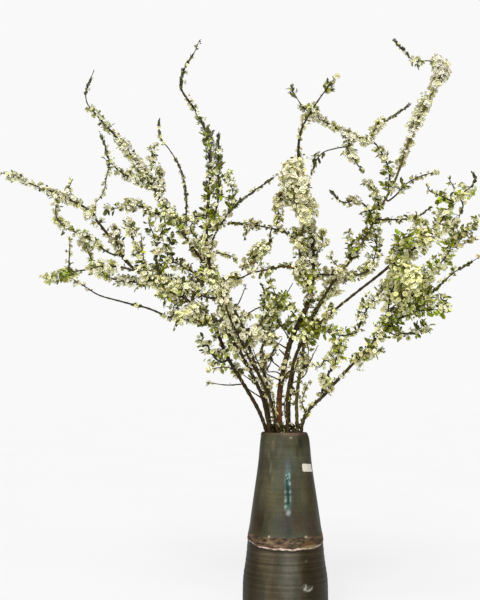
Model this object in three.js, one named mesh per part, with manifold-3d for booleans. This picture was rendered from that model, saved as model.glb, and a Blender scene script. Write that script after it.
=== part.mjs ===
// Spiraea branches in flower, standing in a tall stoneware vase.
// Millimetres, +Z up, -Y towards the front, origin at the centre of the vase's foot.

import * as THREE from 'three';
import { mergeVertices } from 'three/addons/utils/BufferGeometryUtils.js';
import Module from 'manifold-3d';

const wasm = await Module();
wasm.setup();

// ---------------------------------------------------------------- driving dimensions

const RIM_HEIGHT = 420;
const FLOOR_THICKNESS = 10;
const WALL_THICKNESS = 7;
const LIP_THICKNESS = 4.5;
const LIP_OUTER_RADIUS = 48;
const VASE_SEGMENTS = 48;
const LIP_STEPS = 5;
const INSIDE_TOP = 395; // below the lip, where the wall has its full thickness
const INSIDE_STEP = 55;

// Outside of the vase as [radius, height], from the foot to the top of the shoulder.
// The small step at 198 is the torn edge where the dipped upper glaze ends.
const VASE_OUTLINE = [
  [79, 0], [82, 3], [84.5, 45], [85.5, 95], [85, 128], [83, 146], [80.5, 160], [78.5, 175],
  [77.4, 189], [76.2, 196.5], [77.2, 198.5], [76, 205], [73.5, 225], [68, 265], [62, 306], [57.5, 336],
  [54, 364], [52, 390], [50.5, 405], [49, 413],
];

const LABEL_WIDTH = 34;
const LABEL_HEIGHT = 16.5;
const LABEL_THICKNESS = 0.5;
const LABEL_BENDS = 6;
const LABEL_CENTRE_HEIGHT = 351;
const LABEL_ANGLE = 56; // degrees round from the front, towards +X

const SEAT_GAP = 0.3; // clearance between pieces that touch

const STEM_SIDES = 7;
const STEM_RING_STEP = 30;
const SHOOT_SIDES = 6;
const SHOOT_RING_STEP = 19;
const FEWEST_RINGS = 4;

// ---------------------------------------------------------------- branches

// A main stem stands on the vase's floor at foot, passes the mouth at rim, and follows route.
// A side shoot grows out of the stem named in on, at the share `from` of that stem's length.
// Each route point is [x, y, z, radius]. The radius is that of the bare wood, or of the
// sleeve of flowers and leaves where the shoot carries them.

const MAIN_STEMS = [
  {
    name: 'long_left_stem', rim: [-38, -6], foot: [27, -49], base: 4.5,
    route: [
      [-52, -12, 460, 4], [-80, -20, 510, 4], [-120, -25, 575, 4], [-146, -30, 635, 5],
      [-192, -35, 683, 7], [-250, -45, 720, 6.5], [-320, -50, 760, 6], [-365, -55, 820, 6],
      [-420, -60, 884, 7], [-490, -60, 918, 7.5], [-545, -65, 939, 7], [-600, -70, 959, 5],
    ],
  },
  {
    name: 'upper_left_stem', rim: [-30, 23], foot: [-12, -54], base: 4.2,
    route: [
      [-46, 30, 510, 3.8], [-73, 45, 585, 3.6], [-96, 60, 650, 4], [-140, 85, 725, 7],
      [-180, 100, 790, 7], [-220, 110, 845, 6.5], [-265, 120, 915, 6.5], [-312, 130, 985, 8],
      [-350, 140, 1040, 8], [-393, 145, 1100, 7], [-450, 150, 1165, 6.5], [-487, 150, 1217, 4.5],
      [-465, 140, 1285, 2.5],
    ],
  },
  {
    name: 'tall_left_stem', rim: [-31, -22], foot: [42, -37], base: 4.2,
    route: [
      [-48, -35, 495, 4], [-76, -50, 553, 3.6], [-93, -60, 584, 4], [-112, -70, 612, 5], [-125, -85, 665, 7],
      [-140, -95, 710, 7], [-155, -105, 780, 6.5], [-155, -110, 860, 4.5], [-150, -110, 945, 5.5],
      [-158, -105, 1020, 5], [-185, -100, 1080, 4.5], [-215, -90, 1130, 4.5], [-208, -85, 1180, 4],
      [-193, -82, 1206, 3], [-180, -80, 1240, 1.8],
    ],
  },
  {
    name: 'back_stem', rim: [-18, 33], foot: [-43, -36], base: 4.2,
    route: [
      [-37, 45, 515, 3.8], [-52, 75, 585, 3.8], [-35, 110, 640, 5.5], [-20, 155, 700, 6.5],
      [0, 200, 730, 5], [20, 240, 770, 2],
    ],
  },
  {
    name: 'tall_centre_stem', rim: [-10, -1], foot: [-4, 6], base: 7.2,
    route: [
      [-12, 0, 485, 6.6], [-4, 5, 540, 6.2], [15, 5, 615, 5.6], [48, 10, 685, 4.6], [61, 10, 760, 3.6],
      [60, 5, 825, 3.4], [55, 0, 865, 3.4], [35, -5, 930, 4], [30, -10, 1000, 3], [35, -15, 1060, 2.4],
      [65, -20, 1115, 2.2], [85, -20, 1145, 5], [115, -20, 1185, 3],
    ],
  },
  {
    name: 'tall_right_stem', rim: [24, 22], foot: [-49, 28], base: 4.2,
    route: [
      [25, 30, 485, 3.6], [34, 45, 555, 3.6], [47, 60, 626, 3.8], [80, 75, 700, 4.2], [110, 90, 750, 5],
      [150, 100, 800, 5], [185, 105, 855, 3.2], [215, 110, 915, 3], [255, 120, 990, 2.8],
      [280, 120, 1060, 5], [315, 125, 1135, 8], [345, 130, 1200, 8], [368, 130, 1245, 9],
      [370, 125, 1280, 9],
    ],
  },
  {
    name: 'front_right_stem', rim: [6, -33], foot: [54, 12], base: 4,
    route: [
      [5, -40, 485, 3.6], [15, -52, 545, 3.4], [30, -70, 590, 3.2], [65, -90, 630, 2.8],
      [120, -110, 677, 2.4], [180, -130, 723, 2.4], [220, -145, 755, 6], [265, -150, 784, 7],
      [290, -150, 810, 6], [315, -150, 850, 5], [335, -145, 875, 6], [360, -140, 895, 9],
    ],
  },
  {
    name: 'low_right_stem', rim: [33, -19], foot: [6, 55], base: 4.2,
    route: [
      [45, -20, 460, 4], [80, -25, 495, 4.5], [120, -35, 540, 3.2], [160, -45, 580, 4.5],
      [195, -55, 620, 4.5], [225, -60, 645, 6], [260, -65, 660, 7], [295, -65, 665, 6],
      [325, -65, 660, 7],
    ],
  },
  {
    name: 'front_left_stem', rim: [-15, -35], foot: [56, -8], base: 3.6,
    route: [
      [-30, -52, 485, 3.2], [-50, -75, 530, 3], [-70, -105, 565, 3.4], [-85, -140, 600, 7],
      [-100, -170, 630, 8], [-110, -200, 660, 7], [-115, -225, 680, 4],
    ],
  },
  {
    name: 'back_right_stem', rim: [8, 34], foot: [-54, -4], base: 3.6,
    route: [
      [10, 52, 485, 3.2], [20, 85, 550, 3.2], [35, 125, 620, 5], [60, 165, 675, 7], [90, 205, 725, 6],
      [130, 240, 755, 4],
    ],
  },
];

const SIDE_SHOOTS = [
  {
    name: 'long_left_loop_shoot', on: 'long_left_stem', from: 0.73, base: 2,
    route: [
      [-370, -65, 789, 5], [-404, -80, 815, 6], [-449, -90, 834, 6], [-470, -95, 860, 6],
      [-465, -100, 890, 4],
    ],
  },
  {
    name: 'low_left_shoot', on: 'long_left_stem', from: 0.54, base: 2.4,
    route: [
      [-185, -15, 650, 5], [-235, 0, 655, 2.4], [-295, 10, 679, 3], [-355, 20, 695, 2.4],
      [-410, 30, 712, 2.4], [-455, 40, 740, 3], [-490, 45, 755, 8], [-530, 45, 755, 7],
    ],
  },
  {
    name: 'left_flat_shoot', on: 'long_left_stem', from: 0.69, base: 2,
    route: [
      [-340, -70, 755, 2.2], [-375, -90, 750, 7], [-415, -105, 740, 2.4],
      [-450, -110, 735, 2.4],
    ],
  },
  {
    name: 'left_arc_shoot', on: 'long_left_stem', from: 0.65, base: 2.5,
    route: [
      [-286, -25, 731, 6], [-330, -5, 734, 6], [-375, 10, 745, 4], [-415, 20, 775, 5],
      [-430, 30, 800, 4], [-445, 30, 835, 3],
    ],
  },
  {
    name: 'left_inner_shoot', on: 'long_left_stem', from: 0.68, base: 2,
    route: [
      [-295, -60, 765, 3], [-305, -70, 795, 4], [-315, -75, 825, 4], [-315, -80, 855, 3],
    ],
  },
  {
    name: 'left_upright_shoot', on: 'long_left_stem', from: 0.65, base: 2,
    route: [
      [-262, -70, 757, 4], [-261, -85, 790, 5], [-251, -100, 812, 7], [-239, -115, 837, 4],
    ],
  },
  {
    name: 'low_leafy_shoot', on: 'long_left_stem', from: 0.48, base: 2,
    route: [
      [-130, -40, 560, 5], [-150, -55, 580, 6], [-160, -65, 600, 3], [-175, -70, 605, 2.4],
    ],
  },
  {
    name: 'upper_left_leafy_shoot', on: 'upper_left_stem', from: 0.75, base: 2.5,
    route: [
      [-345, 120, 995, 5], [-385, 110, 1015, 6], [-410, 100, 1040, 6], [-420, 90, 1075, 5],
      [-435, 90, 1110, 3],
    ],
  },
  {
    name: 'left_crossing_shoot', on: 'upper_left_stem', from: 0.68, base: 2.5,
    route: [
      [-295, 95, 910, 5], [-340, 75, 925, 6], [-370, 60, 915, 6], [-405, 45, 910, 4],
    ],
  },
  {
    name: 'upper_left_inner_shoot', on: 'upper_left_stem', from: 0.71, base: 2.5,
    route: [
      [-295, 150, 1000, 5], [-310, 170, 1045, 5], [-325, 180, 1075, 4.5], [-315, 190, 1115, 3],
    ],
  },
  {
    name: 'left_bare_twig', on: 'upper_left_stem', from: 0.63, base: 2,
    route: [
      [-230, 130, 900, 2], [-235, 150, 970, 2], [-250, 165, 1035, 2], [-280, 175, 1090, 2],
      [-305, 180, 1125, 2], [-310, 185, 1170, 2.4],
    ],
  },
  {
    name: 'centre_bare_shoot', on: 'upper_left_stem', from: 0.57, base: 3,
    route: [
      [-165, 90, 840, 3], [-140, 80, 885, 4], [-105, 70, 925, 2], [-55, 60, 960, 1.8],
      [-15, 50, 985, 2],
    ],
  },
  {
    name: 'centre_flower_twig', on: 'centre_bare_shoot', from: 0.44, base: 2,
    route: [
      [-120, 95, 935, 4.5], [-120, 105, 965, 5], [-135, 115, 1010, 3],
    ],
  },
  {
    name: 'left_band_shoot', on: 'centre_bare_shoot', from: 0.35, base: 2,
    route: [
      [-170, 60, 885, 7], [-195, 45, 890, 7], [-225, 25, 870, 8], [-260, 10, 875, 5],
    ],
  },
  {
    name: 'mid_left_shoot', on: 'upper_left_stem', from: 0.565, base: 2.5,
    route: [
      [-190, 72, 762, 5], [-212, 54, 770, 7], [-236, 36, 782, 8], [-260, 24, 782, 7], [-287, 5, 760, 5],
    ],
  },
  {
    name: 'low_left_flower_shoot', on: 'upper_left_stem', from: 0.54, base: 2.5,
    route: [
      [-190, 110, 755, 8], [-230, 135, 750, 8], [-265, 155, 765, 8], [-305, 170, 775, 6],
    ],
  },
  {
    name: 'inner_leafy_shoot', on: 'upper_left_stem', from: 0.56, base: 2.5,
    route: [
      [-190, 125, 820, 5], [-205, 145, 860, 8], [-225, 165, 890, 6], [-210, 180, 930, 4],
    ],
  },
  {
    name: 'tall_left_companion', on: 'tall_left_stem', from: 0.65, base: 2.4,
    route: [
      [-140, -125, 845, 4], [-130, -135, 885, 4.5], [-130, -145, 930, 6], [-130, -150, 975, 6],
      [-130, -155, 1000, 4],
    ],
  },
  {
    name: 'hanging_flower_shoot', on: 'tall_left_stem', from: 0.55, base: 2.5,
    route: [
      [-155, -110, 685, 7], [-185, -135, 695, 8], [-215, -150, 690, 6], [-230, -160, 675, 5],
    ],
  },
  {
    name: 'left_front_shoot', on: 'tall_left_stem', from: 0.51, base: 2.5,
    route: [
      [-150, -110, 645, 7], [-175, -135, 655, 7], [-200, -155, 640, 4], [-210, -170, 615, 5],
    ],
  },
  {
    name: 'back_flower_shoot', on: 'back_stem', from: 0.82, base: 2.5,
    route: [
      [-50, 150, 700, 6], [-80, 170, 690, 8], [-110, 190, 680, 8], [-145, 205, 690, 6],
    ],
  },
  {
    name: 'thin_green_shoot', on: 'back_stem', from: 0.75, base: 2,
    route: [
      [-50, 75, 655, 4], [-45, 55, 690, 2], [-45, 40, 725, 5],
    ],
  },
  {
    name: 'low_centre_shoot', on: 'upper_left_stem', from: 0.43, base: 2.4,
    route: [
      [-65, 25, 625, 6], [-40, 0, 620, 7], [-15, -25, 610, 6],
    ],
  },
  {
    name: 'front_flower_shoot', on: 'front_left_stem', from: 0.81, base: 2.2,
    route: [
      [-55, -150, 615, 6], [-40, -170, 635, 8], [-15, -190, 660, 6], [-5, -200, 670, 3],
    ],
  },
  {
    name: 'crown_shoot', on: 'tall_centre_stem', from: 0.69, base: 2.5,
    route: [
      [45, -20, 875, 8], [30, -40, 910, 10], [15, -50, 940, 12], [10, -60, 970, 10],
    ],
  },
  {
    name: 'crown_hanging_shoot', on: 'tall_centre_stem', from: 0.77, base: 2.5,
    route: [
      [10, 20, 950, 9], [-10, 35, 930, 7], [-15, 45, 905, 6], [-10, 50, 875, 5],
    ],
  },
  {
    name: 'column_shoot', on: 'tall_centre_stem', from: 0.61, base: 2.5,
    route: [
      [40, -15, 765, 8], [30, -35, 805, 8], [40, -45, 845, 8], [45, -55, 885, 9],
      [40, -60, 940, 8],
    ],
  },
  {
    name: 'flat_centre_branch', on: 'tall_centre_stem', from: 0.64, base: 2.5,
    route: [
      [45, 25, 805, 2.4], [5, 45, 850, 2.4], [-50, 65, 870, 4], [-90, 80, 880, 3],
      [-130, 90, 885, 2],
    ],
  },
  {
    name: 'hanging_centre_shoot', on: 'flat_centre_branch', from: 0.59, base: 2,
    route: [
      [-31, 40, 833, 3.5], [-47, 35, 812, 7], [-69, 30, 789, 8], [-88, 20, 768, 5],
    ],
  },
  {
    name: 'low_flat_branch', on: 'tall_centre_stem', from: 0.59, base: 2.5,
    route: [
      [30, -25, 750, 4], [5, -40, 760, 5], [-30, -60, 750, 4.5], [-65, -75, 740, 6],
      [-95, -90, 725, 7], [-135, -110, 715, 5],
    ],
  },
  {
    name: 'centre_right_shoot', on: 'tall_centre_stem', from: 0.62, base: 2.4,
    route: [
      [85, 35, 755, 4], [110, 60, 760, 6], [130, 80, 775, 4],
    ],
  },
  {
    name: 'arching_shoot', on: 'tall_right_stem', from: 0.74, base: 2.5,
    route: [
      [240, 100, 995, 6], [225, 80, 1035, 5], [195, 60, 1065, 5], [160, 50, 1070, 6],
      [115, 30, 1085, 6], [70, 15, 1105, 6], [40, 5, 1125, 5], [15, -5, 1165, 4],
    ],
  },
  {
    name: 'arch_right_shoot', on: 'arching_shoot', from: 0.4, base: 2,
    route: [
      [210, 70, 1100, 5], [240, 85, 1125, 4], [270, 100, 1150, 3], [295, 105, 1170, 3],
    ],
  },
  {
    name: 'arch_hanging_shoot', on: 'arching_shoot', from: 0.52, base: 2,
    route: [
      [140, 30, 1035, 5.5], [150, 10, 1005, 6], [170, -5, 970, 4],
    ],
  },
  {
    name: 'arch_bare_twig', on: 'arch_hanging_shoot', from: 0.29, base: 1.8,
    route: [
      [110, 40, 1040, 1.8], [80, 50, 1030, 3], [60, 60, 990, 4],
    ],
  },
  {
    name: 'right_upper_shoot', on: 'tall_right_stem', from: 0.72, base: 2.4,
    route: [
      [255, 130, 955, 2], [285, 150, 990, 4], [325, 165, 1014, 4], [370, 180, 1029, 3],
    ],
  },
  {
    name: 'left_curl_shoot', on: 'tall_right_stem', from: 0.69, base: 2.4,
    route: [
      [185, 90, 920, 5], [160, 75, 930, 4], [130, 60, 922, 4], [100, 40, 945, 4],
    ],
  },
  {
    name: 'right_grey_shoot', on: 'tall_right_stem', from: 0.69, base: 2.4,
    route: [
      [235, 90, 890, 4], [270, 70, 885, 3], [290, 55, 885, 6], [320, 40, 905, 2.5],
    ],
  },
  {
    name: 'right_loop_shoot', on: 'tall_right_stem', from: 0.57, base: 2.4,
    route: [
      [155, 115, 765, 6], [190, 135, 782, 7], [210, 150, 820, 6], [216, 160, 855, 6],
      [210, 170, 885, 5],
    ],
  },
  {
    name: 'tip_twig', on: 'tall_right_stem', from: 0.99, base: 2.2,
    route: [
      [340, 110, 1275, 3], [300, 95, 1270, 5], [275, 80, 1290, 2], [250, 70, 1310, 1.6],
    ],
  },
  {
    name: 'right_leaf_shoot', on: 'front_right_stem', from: 0.81, base: 2.4,
    route: [
      [215, -165, 775, 6], [220, -185, 785, 8], [235, -200, 785, 6],
    ],
  },
  {
    name: 'right_brown_shoot', on: 'front_right_stem', from: 0.85, base: 2.4,
    route: [
      [270, -130, 805, 6], [265, -110, 830, 7], [255, -90, 850, 4],
    ],
  },
  {
    name: 'low_inner_shoot', on: 'low_right_stem', from: 0.6, base: 2.2,
    route: [
      [85, -40, 530, 2.2], [100, -55, 560, 5], [110, -65, 585, 8], [110, -70, 600, 4],
    ],
  },
  {
    name: 'right_dark_shoot', on: 'low_right_stem', from: 0.84, base: 2.6,
    route: [
      [205, -75, 660, 4], [210, -90, 695, 6], [220, -105, 725, 7], [220, -115, 755, 5],
    ],
  },
  {
    name: 'bright_shoot', on: 'low_right_stem', from: 0.89, base: 2.8,
    route: [
      [255, -40, 690, 8], [275, -20, 725, 10], [305, -5, 755, 9], [335, 10, 780, 6],
      [355, 20, 815, 7], [355, 25, 860, 7], [340, 30, 895, 4], [320, 35, 885, 3],
    ],
  },
  {
    name: 'right_bare_branch', on: 'low_right_stem', from: 0.91, base: 3,
    route: [
      [275, -85, 685, 7], [295, -100, 700, 3], [325, -115, 730, 2.4], [350, -130, 745, 3],
      [375, -140, 760, 2.2],
    ],
  },
  {
    name: 'bright_low_shoot', on: 'low_right_stem', from: 0.94, base: 2.6,
    route: [
      [280, -60, 690, 7], [285, -65, 715, 8], [265, -70, 745, 7],
    ],
  },
  {
    name: 'right_flower_branch', on: 'back_right_stem', from: 0.81, base: 2.8,
    route: [
      [95, 130, 640, 6], [130, 110, 630, 6], [160, 100, 640, 5], [175, 85, 675, 6],
      [200, 70, 710, 6], [225, 60, 735, 6], [245, 50, 755, 6],
    ],
  },
];

// ---------------------------------------------------------------- materials

const COLOURS = { stoneware: 0x55503e, paper: 0xf2f1e6, wood: 0x3b2a20, spray: 0xb9bd78 };
const GLAZE_ROUGHNESS = 0.45;
const DULL_ROUGHNESS = 0.8;

function material(colour, roughness) {
  return new THREE.MeshStandardMaterial({ color: colour, roughness, metalness: 0 });
}

// ---------------------------------------------------------------- solids

function toSolid(geometry) {
  geometry.deleteAttribute('normal');
  geometry.deleteAttribute('uv');
  const closed = mergeVertices(geometry);
  return new wasm.Manifold(new wasm.Mesh({
    numProp: 3,
    vertProperties: Float32Array.from(closed.attributes.position.array),
    triVerts: Uint32Array.from(closed.index.array),
  }));
}

function toGeometry(solid) {
  const mesh = solid.getMesh();
  const geometry = new THREE.BufferGeometry();
  geometry.setAttribute('position', new THREE.BufferAttribute(mesh.vertProperties, 3));
  geometry.setIndex(new THREE.BufferAttribute(mesh.triVerts, 1));
  geometry.computeVertexNormals();
  return geometry;
}

function largestPiece(solid) {
  return solid.decompose().reduce((a, b) => (b.volume() > a.volume() ? b : a));
}

// ---------------------------------------------------------------- vase

function wallRadius(height) {
  const above = VASE_OUTLINE.findIndex(([, level]) => level >= height);
  const [upperRadius, upper] = VASE_OUTLINE[above];
  const [lowerRadius, lower] = VASE_OUTLINE[above - 1];
  return THREE.MathUtils.mapLinear(height, lower, upper, lowerRadius, upperRadius);
}

// The lip is a half round between the outside and the inside of the wall.
function lipPoints() {
  const lipRadius = LIP_THICKNESS / 2;
  const centre = new THREE.Vector2(LIP_OUTER_RADIUS - lipRadius, RIM_HEIGHT - lipRadius);
  const points = [];
  for (let step = 0; step <= LIP_STEPS; step += 1) {
    const angle = (Math.PI * step) / LIP_STEPS;
    points.push(new THREE.Vector2(lipRadius * Math.cos(angle), lipRadius * Math.sin(angle)).add(centre));
  }
  return points;
}

function insidePoints() {
  const points = [];
  for (let height = INSIDE_TOP; height > FLOOR_THICKNESS; height -= INSIDE_STEP) {
    points.push(new THREE.Vector2(wallRadius(height) - WALL_THICKNESS, height));
  }
  points.push(new THREE.Vector2(wallRadius(FLOOR_THICKNESS) - WALL_THICKNESS, FLOOR_THICKNESS));
  return points;
}

function vaseGeometry() {
  const profile = [
    new THREE.Vector2(0, 0),
    ...VASE_OUTLINE.map(([radius, height]) => new THREE.Vector2(radius, height)),
    ...lipPoints(),
    ...insidePoints(),
    new THREE.Vector2(0, FLOOR_THICKNESS),
  ];
  const geometry = new THREE.LatheGeometry(profile, VASE_SEGMENTS);
  geometry.rotateX(Math.PI / 2);
  return toGeometry(toSolid(geometry));
}

// A flat square of paper bent round the wall.
function labelGeometry() {
  const geometry = new THREE.BoxGeometry(LABEL_WIDTH, LABEL_THICKNESS, LABEL_HEIGHT, LABEL_BENDS, 1, 1);
  const position = geometry.attributes.position;
  const inside = SEAT_GAP + LABEL_THICKNESS / 2;
  for (let index = 0; index < position.count; index += 1) {
    const height = LABEL_CENTRE_HEIGHT + position.getZ(index);
    const wall = wallRadius(height);
    const angle = THREE.MathUtils.degToRad(LABEL_ANGLE) + position.getX(index) / wall;
    const radius = wall + inside - position.getY(index);
    position.setXYZ(index, radius * Math.sin(angle), -radius * Math.cos(angle), height);
  }
  return toGeometry(toSolid(geometry));
}

// ---------------------------------------------------------------- branches

// Radius at a share of the curve's length, from the radii at its points.
function radiusAt(shoot, share) {
  const place = shoot.curve.getUtoTmapping(share) * (shoot.radii.length - 1);
  const before = Math.min(Math.floor(place), shoot.radii.length - 2);
  return THREE.MathUtils.lerp(shoot.radii[before], shoot.radii[before + 1], place - before);
}

// A tube that follows the shoot: a unit cylinder whose rings are moved onto the curve.
function tubeSolid(shoot, extra) {
  const rings = Math.max(FEWEST_RINGS, Math.round(shoot.curve.getLength() / shoot.ringStep));
  const frames = shoot.curve.computeFrenetFrames(rings);
  const geometry = new THREE.CylinderGeometry(1, 1, 1, shoot.sides, rings);
  const position = geometry.attributes.position;
  for (let index = 0; index < position.count; index += 1) {
    const ring = Math.round((position.getY(index) + 0.5) * rings);
    const radius = radiusAt(shoot, ring / rings) + extra;
    const point = shoot.curve.getPointAt(ring / rings);
    point.addScaledVector(frames.normals[ring], position.getX(index) * radius);
    point.addScaledVector(frames.binormals[ring], -position.getZ(index) * radius);
    position.setXYZ(index, point.x, point.y, point.z);
  }
  return toSolid(geometry);
}

function curveThrough(start, route) {
  const points = [...start, ...route].map(([x, y, z]) => new THREE.Vector3(x, y, z));
  return new THREE.CatmullRomCurve3(points, false, 'centripetal');
}

// The cut end of a leaning stem is tilted, so its centre is raised until its edge clears the floor.
function mainStem(entry) {
  const reach = Math.hypot(entry.rim[0] - entry.foot[0], entry.rim[1] - entry.foot[1]);
  const lift = SEAT_GAP + entry.base * Math.sin(Math.atan2(reach, RIM_HEIGHT));
  const start = [[...entry.foot, FLOOR_THICKNESS + lift], [...entry.rim, RIM_HEIGHT]];
  return {
    name: entry.name,
    curve: curveThrough(start, entry.route),
    radii: [entry.base, entry.base, ...entry.route.map((point) => point[3])],
    sides: STEM_SIDES,
    ringStep: STEM_RING_STEP,
  };
}

function sideShoot(entry, parent) {
  const start = parent.curve.getPointAt(entry.from);
  return {
    name: entry.name,
    parent,
    curve: curveThrough([start.toArray()], entry.route),
    radii: [entry.base, ...entry.route.map((point) => point[3])],
    sides: SHOOT_SIDES,
    ringStep: SHOOT_RING_STEP,
  };
}

// A side shoot starts at its parent's surface, with a saddle that leaves the seat gap.
function shootGeometry(shoot) {
  const tube = tubeSolid(shoot, 0);
  if (!shoot.parent) {
    return toGeometry(tube);
  }
  const seat = tubeSolid(shoot.parent, SEAT_GAP);
  return toGeometry(largestPiece(tube.subtract(seat)));
}

// ---------------------------------------------------------------- the arrangement

const group = new THREE.Group();

function addPiece(name, geometry, pieceMaterial) {
  const mesh = new THREE.Mesh(geometry, pieceMaterial);
  mesh.name = name;
  group.add(mesh);
}

addPiece('vase', vaseGeometry(), material(COLOURS.stoneware, GLAZE_ROUGHNESS));
addPiece('price_label', labelGeometry(), material(COLOURS.paper, DULL_ROUGHNESS));

const shoots = new Map();
for (const entry of MAIN_STEMS) {
  shoots.set(entry.name, mainStem(entry));
}
for (const entry of SIDE_SHOOTS) {
  shoots.set(entry.name, sideShoot(entry, shoots.get(entry.on)));
}
for (const shoot of shoots.values()) {
  const colour = shoot.parent ? COLOURS.spray : COLOURS.wood;
  addPiece(shoot.name, shootGeometry(shoot), material(colour, DULL_ROUGHNESS));
}

export default group;
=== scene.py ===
import math
from typing import NamedTuple

import bpy
import numpy as np
from mathutils import Matrix, Vector
from mathutils.bvhtree import BVHTree


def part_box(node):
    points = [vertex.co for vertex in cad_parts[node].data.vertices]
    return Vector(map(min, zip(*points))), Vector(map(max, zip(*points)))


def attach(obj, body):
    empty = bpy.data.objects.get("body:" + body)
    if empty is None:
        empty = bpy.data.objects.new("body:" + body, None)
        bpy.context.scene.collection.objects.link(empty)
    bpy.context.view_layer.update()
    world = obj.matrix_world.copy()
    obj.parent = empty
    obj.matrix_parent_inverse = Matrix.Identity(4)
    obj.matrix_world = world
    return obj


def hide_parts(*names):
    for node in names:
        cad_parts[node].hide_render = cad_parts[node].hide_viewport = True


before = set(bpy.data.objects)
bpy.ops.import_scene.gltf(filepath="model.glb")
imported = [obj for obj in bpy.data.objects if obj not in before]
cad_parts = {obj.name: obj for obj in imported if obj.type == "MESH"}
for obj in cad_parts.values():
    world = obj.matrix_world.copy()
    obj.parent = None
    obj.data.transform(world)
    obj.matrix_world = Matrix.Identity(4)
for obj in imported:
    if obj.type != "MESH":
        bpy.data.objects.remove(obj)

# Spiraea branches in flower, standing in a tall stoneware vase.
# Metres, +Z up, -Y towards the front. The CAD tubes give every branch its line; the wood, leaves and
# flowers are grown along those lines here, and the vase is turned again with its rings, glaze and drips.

MM = 0.001
UP = np.array([0.0, 0.0, 1.0])
GOLDEN_ANGLE = math.radians(137.5)
SEED = 11

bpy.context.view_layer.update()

# ---------------------------------------------------------------- how each branch is dressed

STEM_SIDES = 7   # sides of the CAD tubes, by which their rings are found
SHOOT_SIDES = 6

FLOWER_RADIUS = 5.2 * MM
FLOWER_AREA = math.pi * FLOWER_RADIUS ** 2

# Colours of petals, leaves and wood, as linear red, green and blue.
CREAM = (0.95, 0.905, 0.66)
PINK_CREAM = (0.91, 0.82, 0.60)
GREEN_CREAM = (0.84, 0.83, 0.42)
FADED = (0.60, 0.52, 0.27)
OLIVE = (0.115, 0.125, 0.011)
DARK_GREEN = (0.042, 0.048, 0.005)
YELLOW_GREEN = (0.30, 0.36, 0.018)
LIME = (0.275, 0.36, 0.016)
YELLOW_CREAM = (0.95, 0.92, 0.44)
RUSSET = (0.100, 0.058, 0.018)
GREY_GREEN = (0.110, 0.106, 0.046)
STAMENS = (0.76, 0.69, 0.25)
HEART = (0.52, 0.52, 0.14)
CALYX = (0.16, 0.22, 0.04)
PETAL_FOOT = (0.60, 0.58, 0.20)
DARK_WOOD = (0.036, 0.023, 0.008)
RED_WOOD = (0.125, 0.047, 0.014)
OLIVE_WOOD = (0.082, 0.062, 0.018)
GREY_WOOD = (0.050, 0.041, 0.024)
LENTICEL = (0.17, 0.12, 0.075)    # pale pores in the bark


class Kind(NamedTuple):
    """What grows on a stretch of branch. Lengths are in mm."""

    spacing: float          # from one tuft to the next
    cover: float            # area of the flowers against that of a sleeve round the branch
    petals: list            # petal colours to choose from
    leaves: float           # mean number of leaves in a tuft
    leaf_length: float
    leaf_tints: list
    buds: float             # mean number of closed buds in a tuft
    hug: float = 0.0        # 0 for leaves that stand out, 1 for leaves along the twig
    parting: float = 0.3    # share of the tufts left out where the wood shows at the front


KINDS = {
    "bare": Kind(12, 0.0, [CREAM], 0.5, 5, [OLIVE, DARK_GREEN], 0.9, hug=0.5),
    "thin": Kind(7, 0.22, [CREAM, FADED], 1.8, 7, [OLIVE, GREY_GREEN, DARK_GREEN], 0.9, hug=0.4),
    "buds": Kind(6, 0.50, [CREAM, GREEN_CREAM], 1.2, 7, [OLIVE, GREY_GREEN], 2.4),
    "mix": Kind(6, 0.85, [CREAM, CREAM, GREEN_CREAM, FADED], 3.4, 11,
                [OLIVE, YELLOW_GREEN, DARK_GREEN], 0.8),
    "bloom": Kind(6, 1.40, [CREAM, CREAM, CREAM, GREEN_CREAM], 3.2, 11,
                  [OLIVE, YELLOW_GREEN, DARK_GREEN], 0.6),
    "cream": Kind(6, 2.3, [CREAM, CREAM, YELLOW_CREAM, PINK_CREAM], 0.9, 10,
                  [YELLOW_GREEN, RUSSET, OLIVE], 0.4),
    "spray": Kind(5, 2.3, [CREAM, CREAM, YELLOW_CREAM, CREAM], 0.7, 9,
                  [YELLOW_GREEN, OLIVE], 0.3, parting=0.7),
    "brown": Kind(6, 1.15, [CREAM, CREAM, PINK_CREAM, FADED], 3.6, 10,
                  [OLIVE, DARK_GREEN, RUSSET, RUSSET], 1.0),
    "green": Kind(5, 0.34, [CREAM, GREEN_CREAM], 4.6, 13, [OLIVE, YELLOW_GREEN, DARK_GREEN], 0.5),
    "lush": Kind(5, 0.28, [CREAM, GREEN_CREAM], 7.4, 13, [LIME, YELLOW_GREEN, OLIVE, OLIVE], 0.3),
    "bright": Kind(5, 1.00, [CREAM, GREEN_CREAM], 5.2, 12, [LIME, YELLOW_GREEN, OLIVE], 0.5),
    "gold": Kind(6, 1.7, [YELLOW_CREAM, YELLOW_CREAM, CREAM], 2.8, 10, [OLIVE, LIME, LIME], 0.4),
    "grey": Kind(6, 0.50, [FADED, CREAM], 3.2, 8, [GREY_GREEN, OLIVE], 0.9),
    "dusk": Kind(5, 0.72, [CREAM, CREAM, PINK_CREAM], 4.8, 11, [DARK_GREEN, RUSSET, OLIVE], 0.8),
    "shade": Kind(5, 0.62, [CREAM, YELLOW_CREAM, YELLOW_CREAM], 6.4, 11, [RUSSET, OLIVE, DARK_GREEN], 0.8),
    "sleeve": Kind(3, 0.11, [CREAM, GREEN_CREAM], 4.6, 9, [OLIVE, DARK_GREEN, GREY_GREEN], 0.5, hug=0.8),
    "mane": Kind(3, 0.17, [CREAM, GREEN_CREAM], 4.8, 11, [OLIVE, YELLOW_GREEN, GREY_GREEN], 0.5, hug=0.45),
    "crowd": Kind(3, 0.05, [FADED], 4.5, 8, [DARK_GREEN, DARK_WOOD, DARK_WOOD], 1.0, hug=0.3),
}


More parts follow.
